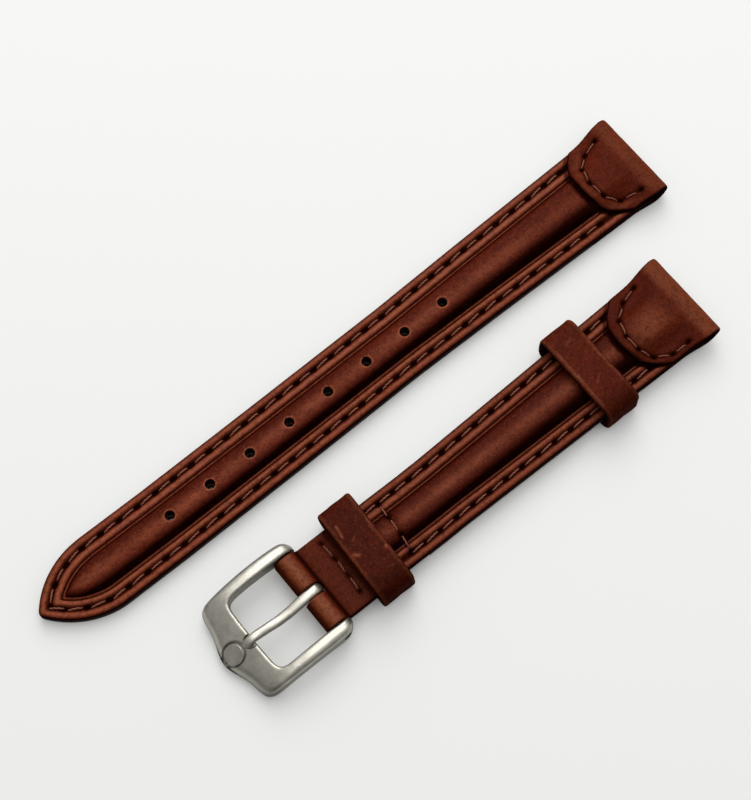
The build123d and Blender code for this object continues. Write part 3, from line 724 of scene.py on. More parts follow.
def mark_upper(obj, half):
    """Marks an upper: where it is worn, compressed and has painted edges, and where light and shade are
    painted on it. Its rails are lighter partly from wear and partly as a painted highlight; the bead, the
    crown and the hole rims get painted highlights; the ridge's slope away from the light, the tab's shadow in
    front of its edge and the walls of the holes get painted shade.
    """
    distance, side, height = half.plan(obj)
    inset, ridge_inset = half.inset(distance, side), crease_inset(half, distance, side)
    is_tail, on_row = half is TAIL, row_gap(distance, side)
    holes = half.needle_holes if is_tail else np.concatenate([half.needle_holes, CROSS_SEAM.holes])
    needle = near_holes(distance * 0.85, side, holes * (0.85, 1), 0.38)
    # Lighter rails, partly from wear and partly a painted highlight on their rounded tops, and a painted
    # highlight on the bead.
    rails = (0.85 * bump(inset, 0.62, 0.36) + bump(inset, 2.28, 0.42)) * (1 if is_tail else 0.84)
    bead = bump(ridge_inset, 3.03, 0.07) * 0.5
    patches = 1 + 0.14 * np.sin(distance * 0.31 + 0.6) + 0.1 * np.sin(distance * 0.83 + 1)
    # Painted highlight along the ridge's crown.
    crown = 0.46 * patches * smooth_step((ridge_inset - 3.6) / 0.9)
    if is_tail:
        crown = crown * bump(side, 0.1, 0.85) * (0.6 + 0.4 * smooth_step((distance - 20) / 8))
        glow = -0.4 * smooth_step((distance - 48) / 16) * bump(side, -1.5, 1.0)
    else:
        crown = crown * bump(side, 0.0, 0.85 - 0.12 * smooth_step((distance - 34) / 8))
        glow = -0.6
    # Painted shadow that the tab's front edge casts on the upper, stronger on the side away from the light;
    # there it also takes away the highlights.
    past_tab = distance - half.tab_front(side)
    tab_shadow = smooth_step((1.05 - past_tab) / 0.5) * (0.5 + 0.5 * smooth_step((side + 4.5) / 3))
    rubbed = np.clip(rails + bead + crown, 0, 1) * (1 - tab_shadow)
    lane = np.clip(bump(inset, SEAM_INSET, 0.34) * 1.1, 0, 0.82)
    crease = bump(ridge_inset, 2.79, 0.11) + bump(ridge_inset, 3.26, 0.11) * 0.85
    if not is_tail:
        crease = crease + 0.75 * bump(on_row, 0, 0.26) * (abs(side) < 4.3)
    shade = smooth_step((ridge_inset - 3.1) / 0.25) * smooth_step((side - 0.9) / 1.3) * 0.95
    foot = smooth_step((ridge_inset - 3.15) / 0.15) * smooth_step((4.1 - ridge_inset) / 0.8) * 0.45
    pressed = np.clip(needle * 0.97 + lane + crease + shade + foot + tab_shadow, 0, 1)
    # Painted highlight on each punched hole's rim, and painted shade on its walls.
    for place in half.holes:
        away = np.hypot(distance - place, side)
        rim, wall = away < HOLE_RADIUS + 0.2, (away < HOLE_RADIUS + 0.03) & (height < 3.28)
        rubbed = np.where(rim & (away > HOLE_RADIUS - 0.01), 1.0, rubbed)
        pressed = np.where(rim & (height > 3.3), 0.0, pressed)
        pressed, rubbed = np.where(wall, 1.0, pressed), np.where(wall, 0.0, rubbed)
    paint = smooth_step((0.2 - inset) / 0.14) * 0.95
    paint = np.maximum(paint, (height < MARGIN_TOP - 0.4) & (inset < 0.3))
    mark_leather(obj, rubbed=rubbed, pressed=pressed, paint=paint, glow=glow)


def paint_edges_and_shade_holes(obj, half, inset):
    """Dark painted edges, and painted shade on the walls of the punched holes."""
    distance, side, _ = half.plan(obj)
    paint = smooth_step((inset + 0.2 - half.inset(distance, side)) / 0.15)
    # Painted shade on the walls of the punched holes.
    for place in half.holes:
        paint = np.maximum(paint, np.hypot(distance - place, side) < HOLE_RADIUS + 0.03)
    float_attribute(obj.data, "paint", paint)


def build_padding(half):
    """The felt core under a ridge."""
    def top(distance, side):
        return np.maximum(pocket_height(half, distance, side) - 0.04, STIFFENER_TOP + 0.12)

    span = POCKET_START + 1.0, PADDING_STOP, 0.7
    obj = build_layer(f"{half.name}_padding_core", half, span, PADDING_INSETS, 4.4, top,
                      level_at(STIFFENER_TOP + 0.02), (), materials["padding"])
    paint_edges_and_shade_holes(obj, half, 0)
    return obj


def build_flat(name, half, start, stop, inset, low, high, material, lane=False):
    """A flat layer, with the lane of the bobbin threads pressed into it where it has one."""
    def top(distance, side):
        return high - 0.06 * smooth_step((inset + 0.1 - half.inset(distance, side)) / 0.1)

    def under(distance, side):
        depth = half.inset(distance, side)
        level = low + 0.1 * smooth_step((inset + 0.16 - depth) / 0.16)
        if lane:
            level = level + 0.3 * bump(depth, SEAM_INSET, 0.3) + ripple(distance, side, 0.4)
            level = np.maximum(level, low)
        return level

    insets = [inset + step for step in (0, 0.06, 0.16, 0.4)] + FLAT_INSETS
    obj = build_layer(name, half, (start, stop, 0.6), insets, 4.2, top, under, (0.8, 0.2),
                      materials[material], LINING_HOLE_RADIUS if lane else HOLE_RADIUS)
    paint_edges_and_shade_holes(obj, half, inset)
    return obj


# Lug wraps

def tab_base(distance, side):
    """What the tab would lie on: the upper without its fine lines, as smooth as a second leather over it."""
    inset = half_width(distance) - abs(side)
    front = 2.32 + smooth_step((inset - 2.3) / 2.6) * 1.22
    tube = WRAP_TOP - 0.5 - 0.1 * smooth_step((1.2 - inset) / 1.2)
    return front + (tube - front) * smooth_step((7.4 - distance) / 5.6)


def tab_height(half, distance, side):
    """Height of the tab's top: a flat rim, the sunk seam, and the leather inside a little full."""
    gap = line_gap(half.tab_seam.points, distance, side)
    to_edge = np.clip(half.tab_front(side) - distance, 0, None)
    reach = np.interp(side, [-5.0, -4, -2, 0, 2, 4, 5.2], [4.5, 7.2, 8.9, 9.3, 9.0, 7.5, 4.5])
    inside = np.clip(reach - distance, -2, 6)
    if half is SHORT:
        inside = inside + 1.6 + 0.8 * smooth_step((3.0 - abs(side)) / 3.0)
    puff = smooth_step(inside / 2.2) * smooth_step((distance - 2.2) / 2.5)
    puff = puff * smooth_step((5.6 - abs(side)) / 1.6)
    height = tab_base(distance, side) + 0.55 + 0.1 * puff
    height = height - 0.24 * bump(gap, 0, 0.34) - 0.2 * near_holes(distance, side, half.tab_seam.holes, 0.36)
    height = height + 0.05 * smooth_step(2.0 - to_edge) * bump(gap, 0.85, 0.45)
    height = height - 0.2 * smooth_step((0.3 - to_edge) / 0.3) ** 1.5
    inset = half_width(distance) - abs(side)
    height = height - 0.3 * smooth_step((0.9 - inset) / 0.9) * smooth_step((distance - 4.2) / 2.6)
    return height + ripple(distance * 1.3, side, 0.55)


def onto_tunnel(height, tube, distance):
    """The tab's height, which runs into the tube's over the tunnel."""
    return tube + (height - tube) * smooth_step((distance - WRAP_RADIUS) / 2.0)


def tab_level(half, distance, side):
    """Level of the tab's stitches, which runs into the tunnel's top."""
    return onto_tunnel(tab_height(half, distance, side), WRAP_TOP, distance) + 0.17


def build_lug_wrap(half):
    """A strip that starts as the tab on top, goes round the tunnel and ends below."""
    shares = np.concatenate([np.linspace(0, 0.06, 5)[:-1], np.linspace(0.06, 0.94, 75),
                             np.linspace(0.94, 1, 5)[1:]]) * 2 - 1
    outer, inner = [], []

    def lip(width):
        return smooth_step((abs(shares) - 1 + width) / width)

    def back(side, ease):
        front = half.tab_front(side)
        return front + (WRAP_RADIUS - front) * ease

    for ease in np.linspace(0, 1, 59):
        side = shares * half_width(6.0)
        for _ in range(3):
            side = shares * half_width(back(side, ease))
        distance = back(side, ease)
        tube = WRAP_TOP - 0.12 * lip(0.1)
        height = onto_tunnel(tab_height(half, distance, side), tube, distance) - 0.14 * lip(0.028)
        under = np.minimum(height - 0.1, tab_base(distance, side) + 0.02)
        on_tunnel = 1 - smooth_step((distance - WRAP_RADIUS) / 2.2)
        outer.append((distance, side, height))
        inner.append((distance, side, under + (WRAP_TOP - WRAP_WALL - under) * on_tunnel))
    for turn in np.linspace(0, math.pi, 30)[1:-1]:
        for sheet, radius, rounding in ((outer, WRAP_RADIUS, 0.1), (inner, TUNNEL_RADIUS, -0.04)):
            uneven = ripple(turn * 1.5, shares * 7, 0.5) * (sheet is outer)
            r = radius - rounding * lip(0.04) + uneven
            distance = WRAP_RADIUS - r * math.sin(turn)
            side = shares * half_width(np.clip(distance, 0, None))
            sheet.append((distance, side, WRAP_RADIUS + r * math.cos(turn)))
    for leg in np.linspace(WRAP_RADIUS, WRAP_LEG, 26):
        distance, side = np.full(shares.shape, leg), shares * half_width(leg)
        lane = bump(half_width(leg) - abs(side), SEAM_INSET, 0.3) * smooth_step((leg - 4.5) / 0.5)
        outer.append((distance, side, 0.1 * lip(0.025) + 0.25 * lane))
        blend = smooth_step((leg - WRAP_RADIUS) / 1.5)
        inner.append((distance, side, WRAP_WALL + (LINING_TOP - WRAP_WALL) * blend))
    points = np.concatenate([half.place(*row) for row in outer + inner])
    faces = strip_faces(len(outer), len(shares))
    obj = new_piece(f"{half.name}_lug_tab", points, faces, materials["tab"], half.body)
    mark_tab(obj, half)
    return obj


def mark_tab(obj, half):
    """Marks a lug wrap and its tab: where they are worn, compressed and have painted edges. The lug end is
    lighter, partly from wear and partly as a painted highlight on the rounded tube, and the inside of the
    tunnel gets painted shade.
    """
    distance, side, height = half.plan(obj)
    is_tail, on_top = half is TAIL, height > 2.3
    gap, to_edge = line_gap(half.tab_seam.points, distance, side), half.tab_front(side) - distance
    lug_end = smooth_step((3.6 - distance) / 1.3)
    rim = bump(gap, 0.95, 0.5) * on_top * (to_edge < 2.4)
    # Lighter at the lug end, partly wear and partly a painted highlight on the rounded tube.
    rubbed = lug_end * (0.3 if is_tail else 0.5) * (height > 0.6) + (0.2 if is_tail else 0.0) * rim
    glow = 0.15 * lug_end - 0.2 * bump(distance, 4.3, 0.8) * on_top
    if not is_tail:
        inner = smooth_step((3.2 - abs(side - 0.3)) / 2.6)
        rubbed = rubbed + 0.5 * bump(distance - side * 0.1, 8.0, 3.0) * inner * on_top
        glow = glow - 0.8 * bump(abs(side - 0.3), 3.9, 1.1) * bump(distance, 6.5, 3.0) * on_top
        glow = glow - 0.35 * smooth_step((distance - 8) / 3) - 0.5 * rim
    pressed = near_holes(distance, side, half.tab_seam.holes, 0.36) + 0.7 * bump(gap, 0, 0.3)
    pressed = (pressed + 0.5 * smooth_step((0.45 - to_edge) / 0.4)) * on_top
    paint = smooth_step((0.1 - to_edge) / 0.1) * (height > 1.0) * (distance > 3.5)
    to_side = half_width(np.clip(distance, 0, None)) - abs(side)
    paint = np.maximum(paint, smooth_step((0.13 - to_side) / 0.1))
    # Painted shade inside the lug tunnel.
    tunnel_shade = np.hypot(distance - WRAP_RADIUS, height - WRAP_RADIUS) < TUNNEL_RADIUS + 0.15
    mark_leather(obj, rubbed=rubbed, pressed=pressed, paint=np.maximum(paint, tunnel_shade), glow=glow)


# Buckle fold

SLOT_FROM = FOLD_RUN - SLOT_REACH + SLOT_HALF
SLOT_TO = FOLD_RUN + FOLD_ARC + SLOT_REACH - SLOT_HALF


def slot_gap(run):
    """Half the width of the tongue's slot at a run along the fold."""
    if not SLOT_FROM - SLOT_HALF < run < SLOT_TO + SLOT_HALF:
        return 0.0
    off = max(SLOT_FROM - run, run - SLOT_TO, 0)
    return math.sqrt(max(SLOT_HALF ** 2 - off ** 2, 0))


def fold_profile(run, side, lip, is_outer):
    """Distance and height of the fold's outer or inner face at a run along it."""
    drop, depth = (0.12 * lip, 0.0) if is_outer else (-0.06 * lip, FOLD_THICKNESS)
    if run >= FOLD_RUN + FOLD_ARC:
        return np.full(side.shape, BAR_DISTANCE - (run - FOLD_RUN - FOLD_ARC)), depth + drop
    if run >= FOLD_RUN:
        turn, radius = (run - FOLD_RUN) / FOLD_RADIUS, FOLD_RADIUS - depth - drop
        return BAR_DISTANCE + radius * math.sin(turn), FOLD_RADIUS + radius * math.cos(turn)
    distance = np.full(side.shape, BAR_DISTANCE - FOLD_RUN + run)
    front = smooth_step((0.3 - run) / 0.3)
    to_bar = smooth_step((run - FOLD_RUN + 2.3) / 1.8)
    height = FOLD_TOP + (2 * FOLD_RADIUS - FOLD_TOP) * to_bar - depth - drop
    if not is_outer:
        return distance, height + 0.02 * front
    lane = bump(line_gap(FOLD_SEAM.points, distance, side), 0, 0.3)
    holes = near_holes(distance, side, FOLD_SEAM.holes, 0.36)
    height = height - 0.22 * front - 0.16 * lane - 0.16 * holes
    height = height - 0.22 * bump(distance, BAR_DISTANCE - 2.0, 0.4)
    return distance, height + ripple(distance, side, 0.7)


def build_buckle_fold(body):
    """A strip over the upper's end, round the bar with a slot for the tongue, and back below."""
    low, high = box_mm("buckle_fold")
    half_fold = (high.y - low.y) / 2
    ends = [SLOT_HALF * (1 - math.cos(a)) for a in np.linspace(0, math.pi / 2, 9)]
    slot_start, slot_end = SLOT_FROM - SLOT_HALF, SLOT_TO + SLOT_HALF
    runs = [*np.linspace(0, 0.3, 5), *np.linspace(0.3, slot_start, 22)[1:],
            *(slot_start + e for e in ends[1:]), *np.linspace(SLOT_FROM, SLOT_TO, 34)[1:],
            *(slot_end - e for e in ends[-2::-1]),
            *np.linspace(slot_end, FOLD_RUN + FOLD_ARC + FOLD_LEG, 24)[1:]]
    gaps = [slot_gap(run) for run in runs]
    shares = np.concatenate([np.linspace(0, 0.02, 3)[:-1], np.linspace(0.02, 0.9, 16),
                             np.linspace(0.9, 1, 5)[1:]])
    points, faces = [], []
    for way in (1, -1):
        sheets = [], []
        for run, gap in zip(runs, gaps):
            reach = half_fold - 0.3 * smooth_step((run - FOLD_RUN - FOLD_ARC - 8.5) / 3.0)
            first = gap + SLOT_SHIFT * way
            side = first + (reach - first) * shares
            lip = smooth_step((side - reach + 0.22) / 0.22)
            if gap > 0.3:
                lip = lip + smooth_step((first + 0.12 - side) / 0.12)
            for sheet, is_outer in zip(sheets, (True, False)):
                distance, height = fold_profile(run, side * way, lip, is_outer)
                sheet += list(SHORT.place(distance, side * way, height))
        faces += strip_faces(len(runs), len(shares), len(points), lambda i: gaps[i] > 0 or gaps[i + 1] > 0)
        points += sheets[0] + sheets[1]
    obj = new_piece("buckle_fold_leather", points, faces, materials["fold"], body)
    mark_fold(obj, half_fold)
    return obj


def mark_fold(obj, half_fold):
    """Marks the fold: its compressed seam row and painted edges, a painted highlight on the roll round the
    bar, and painted shade in the crease where the roll starts, on the roll's far side and where the fixed loop
    shadows the flap.
    """
    distance, side, height = SHORT.plan(obj)
    past, on_top, above = distance - BAR_DISTANCE, height > 1.6, height > 0.9
    # Painted highlight over the roll round the bar, taken away again on its far side.
    rubbed = smooth_step((past + 1.4) / 0.9) * (0.45 + 0.55 * bump(past, 0.15, 0.8)) * above
    rubbed = rubbed - 0.5 * smooth_step((past - 1.0) / 0.7) + 0.1 * (past < -2.2)
    holes = near_holes(distance, side, FOLD_SEAM.holes, 0.34)
    row = bump(line_gap(FOLD_SEAM.points, distance, side), 0, 0.27) * 0.75
    # Painted shadow of the fixed loop on the flap.
    loop_shadow = smooth_step((63.35 - distance) / 0.5) * 0.6
    # Painted shade in the crease where the roll starts.
    pressed = (holes + bump(past, -1.72, 0.42) * 0.9 + row + loop_shadow) * on_top
    # Painted shade on the roll's far side.
    pressed = pressed + 0.55 * smooth_step((past - 0.85) / 0.8) * above
    narrowed = 0.3 * smooth_step((-past - 8.5) / 3.0) * (height < FOLD_RADIUS * 0.6)
    paint = smooth_step((abs(side) - half_fold + narrowed + 0.14) / 0.1) * 0.9
    # Lighter tone over the roll as a painted highlight, darker on the flap.
    glow = 0.5 * smooth_step((past + 1.7) / 0.9) - 0.25
    mark_leather(obj, rubbed=rubbed, pressed=pressed, paint=paint, glow=glow)


# Loops. A scuff is a worn line on top: its two ends beside the loop's middle, its width and its strength.

LOOP_CORNER, LOOP_ROUNDING, LOOP_INNER_ROUNDING, LOOP_JOINT = 1.65, 0.42, 0.2, 0.06
FIXED_WALL, FREE_WALL = 1.1, 0.92
FIXED_SCUFFS = [((1.55, -4.5), (1.75, -2.7), 0.14, 0.9), ((1.45, 0.6), (1.95, 0.1), 0.2, 1.0),
                ((-2.3, 1.8), (-2.2, 2.0), 0.15, 0.8), ((-2.4, -2.6), (-2.2, -1.0), 0.12, 0.5),
                ((0.4, -1.8), (0.9, -1.5), 0.12, 0.5), ((-1.5, 4.6), (-0.9, 4.3), 0.12, 0.4)]
FREE_SCUFFS = [((2.1, 0.1), (2.25, 0.5), 0.2, 0.9), ((2.2, -4.5), (2.3, 5.5), 0.14, 0.5),
               ((-2.3, -1.8), (-2.3, 1.6), 0.12, 0.35), ((-0.8, -5.0), (0.6, -4.4), 0.12, 0.35),
               ((-0.4, 1.6), (0.8, 2.4), 0.12, 0.3)]


def loop_path(half_y, half_z, bend):
    """The middle line of a loop's wall, once round from the joint under the strap, and its normals."""
    y, z = half_y - bend, half_z - bend
    path = []
    for start, end, count, corner in (((0, -half_z), (y, -half_z), 14, (y, -z, -90)),
                                      ((half_y, -z), (half_y, z), 8, (y, z, 0)),
                                      ((y, half_z), (-y, half_z), 84, (-y, z, 90)),
                                      ((-half_y, z), (-half_y, -z), 8, (-y, -z, 180)),
                                      ((-y, -half_z), (-LOOP_JOINT, -half_z), 14, None)):
        path += [(start[0] + (end[0] - start[0]) * k / count, start[1] + (end[1] - start[1]) * k / count)
                 for k in range(count + 1)]
        if corner:
            for angle in np.radians(corner[2] + 9.0 * np.arange(1, 10)):
                path.append((corner[0] + bend * math.cos(angle), corner[1] + bend * math.sin(angle)))
    path = np.array(path)
    path[0, 0] += LOOP_JOINT
    tangents = np.gradient(path, axis=0)
    tangents /= np.hypot(*tangents.T)[:, None]
    return path, np.stack([tangents[:, 1], -tangents[:, 0]], -1)


def loop_section(half_length, wall):
    """The outline of a loop's band: along the strap, outwards."""
    section = []
    for along, out, start in ((1, 1, 0), (-1, 1, 90), (-1, -1, 180), (1, -1, 270)):
        r = LOOP_ROUNDING if out > 0 else LOOP_INNER_ROUNDING
        for angle in np.radians(start + 15.0 * np.arange(7)):
            section.append((along * (half_length - r) + r * math.cos(angle),
                            out * (wall / 2 - r) + r * math.sin(angle)))
        if start == 0:
            section += [(x, wall / 2 + 0.015 * abs(x) / half_length)
                        for x in np.linspace(half_length - 0.6, 0.6 - half_length, 22)]
    return section


def build_loop(name, node, body, turn, lean, scuffs, glow, wall):
    """A flat band bent to a ring, its two ends meeting under the strap. It sits a little askew and leans."""
    low, high = box_mm(node)
    length, width, height = high - low
    middle, half_length = (high + low) / 2, length / 2
    centre_y = middle.y - SHORT.drift(SHORT.origin[0] - middle.x)
    path, normals = loop_path(width / 2 - wall / 2, height / 2 - wall / 2, LOOP_CORNER - wall / 2)
    section = loop_section(half_length, wall)
    points = []
    for place, normal in zip(path, normals):
        for along, out in section:
            wave = ripple(place[0] * 1.4 + 3, along * 1.3 + place[1], 1.1) if out > 0 else 0
            y, z = place + normal * (out + wave)
            points.append((middle.x + along + y * turn + z * lean, centre_y + y, middle.z + z))
    faces = tube_faces(len(path), len(section))
    obj = new_piece(name, np.array(points) * MM, faces, materials["loop"], body)
    x, y, z = (points_mm(obj) - (middle.x, centre_y, middle.z)).T
    x = x - y * turn - z * lean
    edge, top, aside = abs(x) - half_length, z > height / 2 - 1.3, abs(y) - width / 2
    rubbed = bump(edge, -0.35, 0.22) * 0.35
    for start, end, spread, strength in scuffs:
        rubbed = rubbed + strength * bump(line_gap(np.array([start, end]), -x, -y), 0, spread) * top
    # Painted shade: darker on the top towards -Y, the side away from the light, darker on the band's sides,
    # and darkest inside the loop.
    near_side_shade = smooth_step((5.0 - y - width / 2) / 4.2)
    pressed = np.where(top, 0.55 * near_side_shade, smooth_step((aside + 1.2) / 0.6) * 0.5)
    inside = (aside < -wall * 0.7) & (abs(z) < height / 2 - wall * 0.7)
    mark_leather(obj, rubbed=rubbed, pressed=np.where(inside, 0.9, pressed),
                 paint=smooth_step((edge + 0.1) / 0.1) * 0.75, glow=glow)
    return obj


# Buckle: u is the distance beyond the bar, w the side, z the height above the bar

def side_view(points):
    """A smooth side view of the frame from a few points: u, z."""
    samples = np.arange(-3, 16, 0.05)
    return samples, blurred(np.interp(samples, *zip(*points)), 10, 24)


# Half the frame's plan as pairs of inner and outer points, from an arm's end to the nose
FRAME_PAIRS = [((-1.8, 6.02), (-1.8, 6.7)), ((-1.25, 6.02), (-1.3, 7.5)), ((-0.4, 6.02), (-0.5, 7.95)),
               ((1.2, 6.02), (1.2, 8.06)), ((3.4, 6.02), (3.4, 8.1)), ((5.8, 6.02), (6.0, 8.1)),
               ((8.1, 6.03), (8.9, 8.02)), ((9.1, 5.98), (10.9, 7.92)), ((9.78, 5.66), (12.6, 7.88)),
               ((10.1, 5.02), (13.62, 7.25)), ((10.2, 4.15), (13.9, 5.85)), ((10.22, 3.2), (14.1, 4.4)),
               ((10.25, 2.4), (14.4, 3.25)), ((10.25, 1.6), (14.8, 2.15)), ((10.25, 0.8), (15.2, 1.08)),
               ((10.25, 0.0), (15.38, 0.0))]
FRAME_TOP = side_view([(-0.01, 1.8), (1.5, 2.0), (3.5, 2.2), (6, 2.2), (8.5, 1.95), (10, 1.65), (11, 1.3),
                       (12.2, 0.7), (13.4, 0.0), (14.5, -0.7), (15.8, -1.5)])
FRAME_UNDER = side_view([(-0.01, -1.8), (1.2, -1.5), (2.5, -1.05), (4, -0.75), (6, -0.65), (8, -0.85),
                         (10, -1.3), (11.5, -1.7), (12.5, -1.88), (15.6, -1.9)])
EYE_RADIUS = 1.8
BADGE_PLACE, BADGE_RADIUS, BADGE_DEPTH, BADGE_GAP, BADGE_TOP = 13.5, 1.68, 0.42, 0.16, 0.17
NOTCH_PLACE, NOTCH_RADIUS, NOTCH_DEPTH = 10.55, 1.05, 0.42
PIN_HOLE_RADIUS, COUNTERSINK_RADIUS, ARM_INSIDE, ARM_OUTSIDE = 0.475, 0.66, 7.7, 9.5
HOOK_RADIUS = 1.17
TONGUE_SWAY = [(-2, 0.25), (1, 0.3), (4, 0.46), (6, 0.44), (8, 0.32), (10, 0.24), (12, 0.24)]
TONGUE_LINE = [(0.9, 1.16), (2.3, 1.1), (4.1, 0.85), (5.9, 0.78), (7.6, 1.1), (9.2, 1.58), (10.3, 1.74),
               (11.0, 1.6), (11.55, 1.3)]
# Width and thickness along the tongue
TONGUE_SIZES = [(0, 1.5, 0.86), (5.4, 1.56, 0.88), (7.6, 1.56, 1.02), (10, 1.5, 1.12), (13, 1.4, 1.1),
                (15.5, 1.34, 1.04), (17, 1.3, 0.9), (17.6, 1.2, 0.76)]


def frame_side(u, curve, way):
    """Height of the frame's top or underside: an eye round the bar, then the side view's line."""
    eye = way * np.sqrt(np.clip(EYE_RADIUS ** 2 - np.minimum(u, 0) ** 2, 0, None))
    share = smooth_step((u + 0.6) / 1.8)
    return eye * (1 - share) + np.interp(u, *curve) * share


def top_at(u):
    return frame_side(u, FRAME_TOP, 1)


def under_at(u):
    return frame_side(u, FRAME_UNDER, -1)


def eased(points, steps, spread):
    """A smooth curve near a list of points, with its ends kept."""
    points = np.array(points, float)
    index = np.arange(len(points))
    fine = np.linspace(0, len(points) - 1, (len(points) - 1) * steps + 1)
    return np.stack([blurred(np.interp(fine, index, column), spread * steps, int(3 * spread * steps),
                             mode="reflect", reflect_type="odd") for column in points.T], -1)


def quarter(edge, radius):
    """Drop of a rounded edge at a distance from it."""
    inner = np.clip(radius - edge, 0, None)
    return radius - np.sqrt(np.clip(radius ** 2 - inner ** 2, 0, None))


def buckle_place(points):
    """Points beside the bar to metres."""
    u, w, z = np.asarray(points, float).T
    return np.stack([BAR.x - u, BAR.y - w, BAR.z + z], -1) * MM


def ring(count):
    """Directions evenly round a circle."""
    turns = 2 * math.pi * np.arange(count) / count
    return np.stack([np.cos(turns), np.sin(turns)], -1)


def frame_section(inner, outer):
    """Points round the frame's section between an inner and an outer point of the plan."""
    width = np.hypot(*(outer - inner))
    middle = (inner[0] + outer[0]) / 2
    thick = top_at(middle) - under_at(middle)
    r_in, r_out = min(0.55, 0.3 * width, 0.42 * thick), min(1.0, 0.46 * width, 0.46 * thick)
    r_low = min(0.4, 0.3 * width, 0.3 * thick)
    bends = np.array([0, 0.03, 0.1, 0.22, 0.4, 0.65, 1.0])
    across = np.concatenate([bends * r_in, np.linspace(r_in, width - r_out, 30)[1:-1],
                             width - bends[::-1] * r_out])
    below = np.concatenate([width - bends * r_low, np.linspace(width - r_low, r_low, 10)[1:-1],
                            bends[::-1] * r_low])
    top_plan, under_plan = (inner + (outer - inner) * (run / width)[:, None] for run in (across, below))
    top = top_at(top_plan[:, 0]) - quarter(across, r_in) - quarter(width - across, r_out)
    under = under_at(under_plan[:, 0]) + quarter(below, r_low) + quarter(width - below, r_low)
    away = np.hypot(top_plan[:, 0] - BADGE_PLACE, top_plan[:, 1])
    notch = np.hypot((top_plan[:, 0] - NOTCH_PLACE) * 0.8, top_plan[:, 1] - SLOT_SHIFT)
    top = top - BADGE_DEPTH * smooth_step((BADGE_RADIUS - away) / 0.12)
    top = top - NOTCH_DEPTH * smooth_step((NOTCH_RADIUS - notch) / 0.18)
    return np.concatenate([np.column_stack([top_plan, top]),
                           [(*outer, top[-1] + (under[0] - top[-1]) * k / 3) for k in (1, 2)],
                           np.column_stack([under_plan, under]),
                           [(*inner, under[-1] + (top[0] - under[-1]) * k / 3) for k in (1, 2)]])


def build_buckle_frame(body):
    """A domed frame: two arched arms with an eye each, a broad front bar that slopes down, a nose and its
    recess."""
    one = [(*inner, *outer) for inner, outer in FRAME_PAIRS]
    other = [(a, -b, c, -d) for a, b, c, d in one[-2::-1]]
    rows = [frame_section(line[:2], line[2:]) for line in eased(one + other, 12, 0.42)]
    points, faces = buckle_place(np.concatenate(rows)), tube_faces(len(rows), len(rows[0]))
    obj = new_piece("satin_buckle_frame", points, faces, materials["buckle"], body)
    drill_pin_holes(obj)
    u, w, z = (points_mm(obj) - tuple(BAR)).T * np.array([[-1], [-1], [1]])
    steep = steepness(obj)
    recess = bump(np.hypot(u - BADGE_PLACE, w), BADGE_RADIUS - 0.04, 0.14) * (steep < 0.9)
    bores = (np.hypot(u, z) < 0.75) & (abs(w) > 6.4)
    shade = np.maximum.reduce([0.74 * smooth_step((steep - 0.3) / 0.6), 0.75 * recess, 0.95 * bores])
    shade = shade + 0.3 * bump(u, 13.2, 1.6) * bump(w, 7.6, 1.5)
    shade = shade + 0.16 * smooth_step((u - 10.3) / 3) * smooth_step((w + 2) / 6)
    float_attribute(obj.data, "shade", np.clip(shade, 0, 1))
    return obj


def drill_pin_holes(obj):
    """Bores both arms for the ends of the spring bar, a little wider at their outer sides."""
    one = [(ARM_OUTSIDE, COUNTERSINK_RADIUS), (ARM_INSIDE + 0.02, COUNTERSINK_RADIUS),
           (ARM_INSIDE, PIN_HOLE_RADIUS)]
    profile = [(-w, radius) for w, radius in one] + one[::-1]
    points = [(radius * c, w, radius * s) for w, radius in profile for c, s in ring(32)]
    drill = new_object("pin_drill", buckle_place(points), tube_faces(len(profile), 32))
    tidy_mesh(drill, False)
    cut = obj.modifiers.new("pin_holes", "BOOLEAN")
    cut.operation, cut.solver, cut.object = "DIFFERENCE", "EXACT", drill
    keep_result(obj)
    bpy.data.objects.remove(drill)
    tidy_mesh(obj, merge=1e-6)


def build_badge(body):
    """A plain disc let into the nose."""
    tilt = math.atan((top_at(BADGE_PLACE + 1) - top_at(BADGE_PLACE - 1)) / 2)
    sine, cosine, radius = math.sin(tilt), math.cos(tilt), BADGE_RADIUS - BADGE_GAP
    profile = [(0.5, BADGE_TOP), (1.0, BADGE_TOP), (radius - 0.14, BADGE_TOP), (radius - 0.1, BADGE_TOP),
               (radius - 0.03, 0.14), (radius, 0.08), (radius, -0.1)]
    height = top_at(BADGE_PLACE) - BADGE_DEPTH
    points = [(BADGE_PLACE + r * c * cosine - z * sine, r * s, height + r * c * sine + z * cosine)
              for r, z in profile for c, s in ring(72)]
    faces = tube_faces(len(profile), 72)
    return new_piece("nose_disc", buckle_place(points), faces, materials["badge"], body)


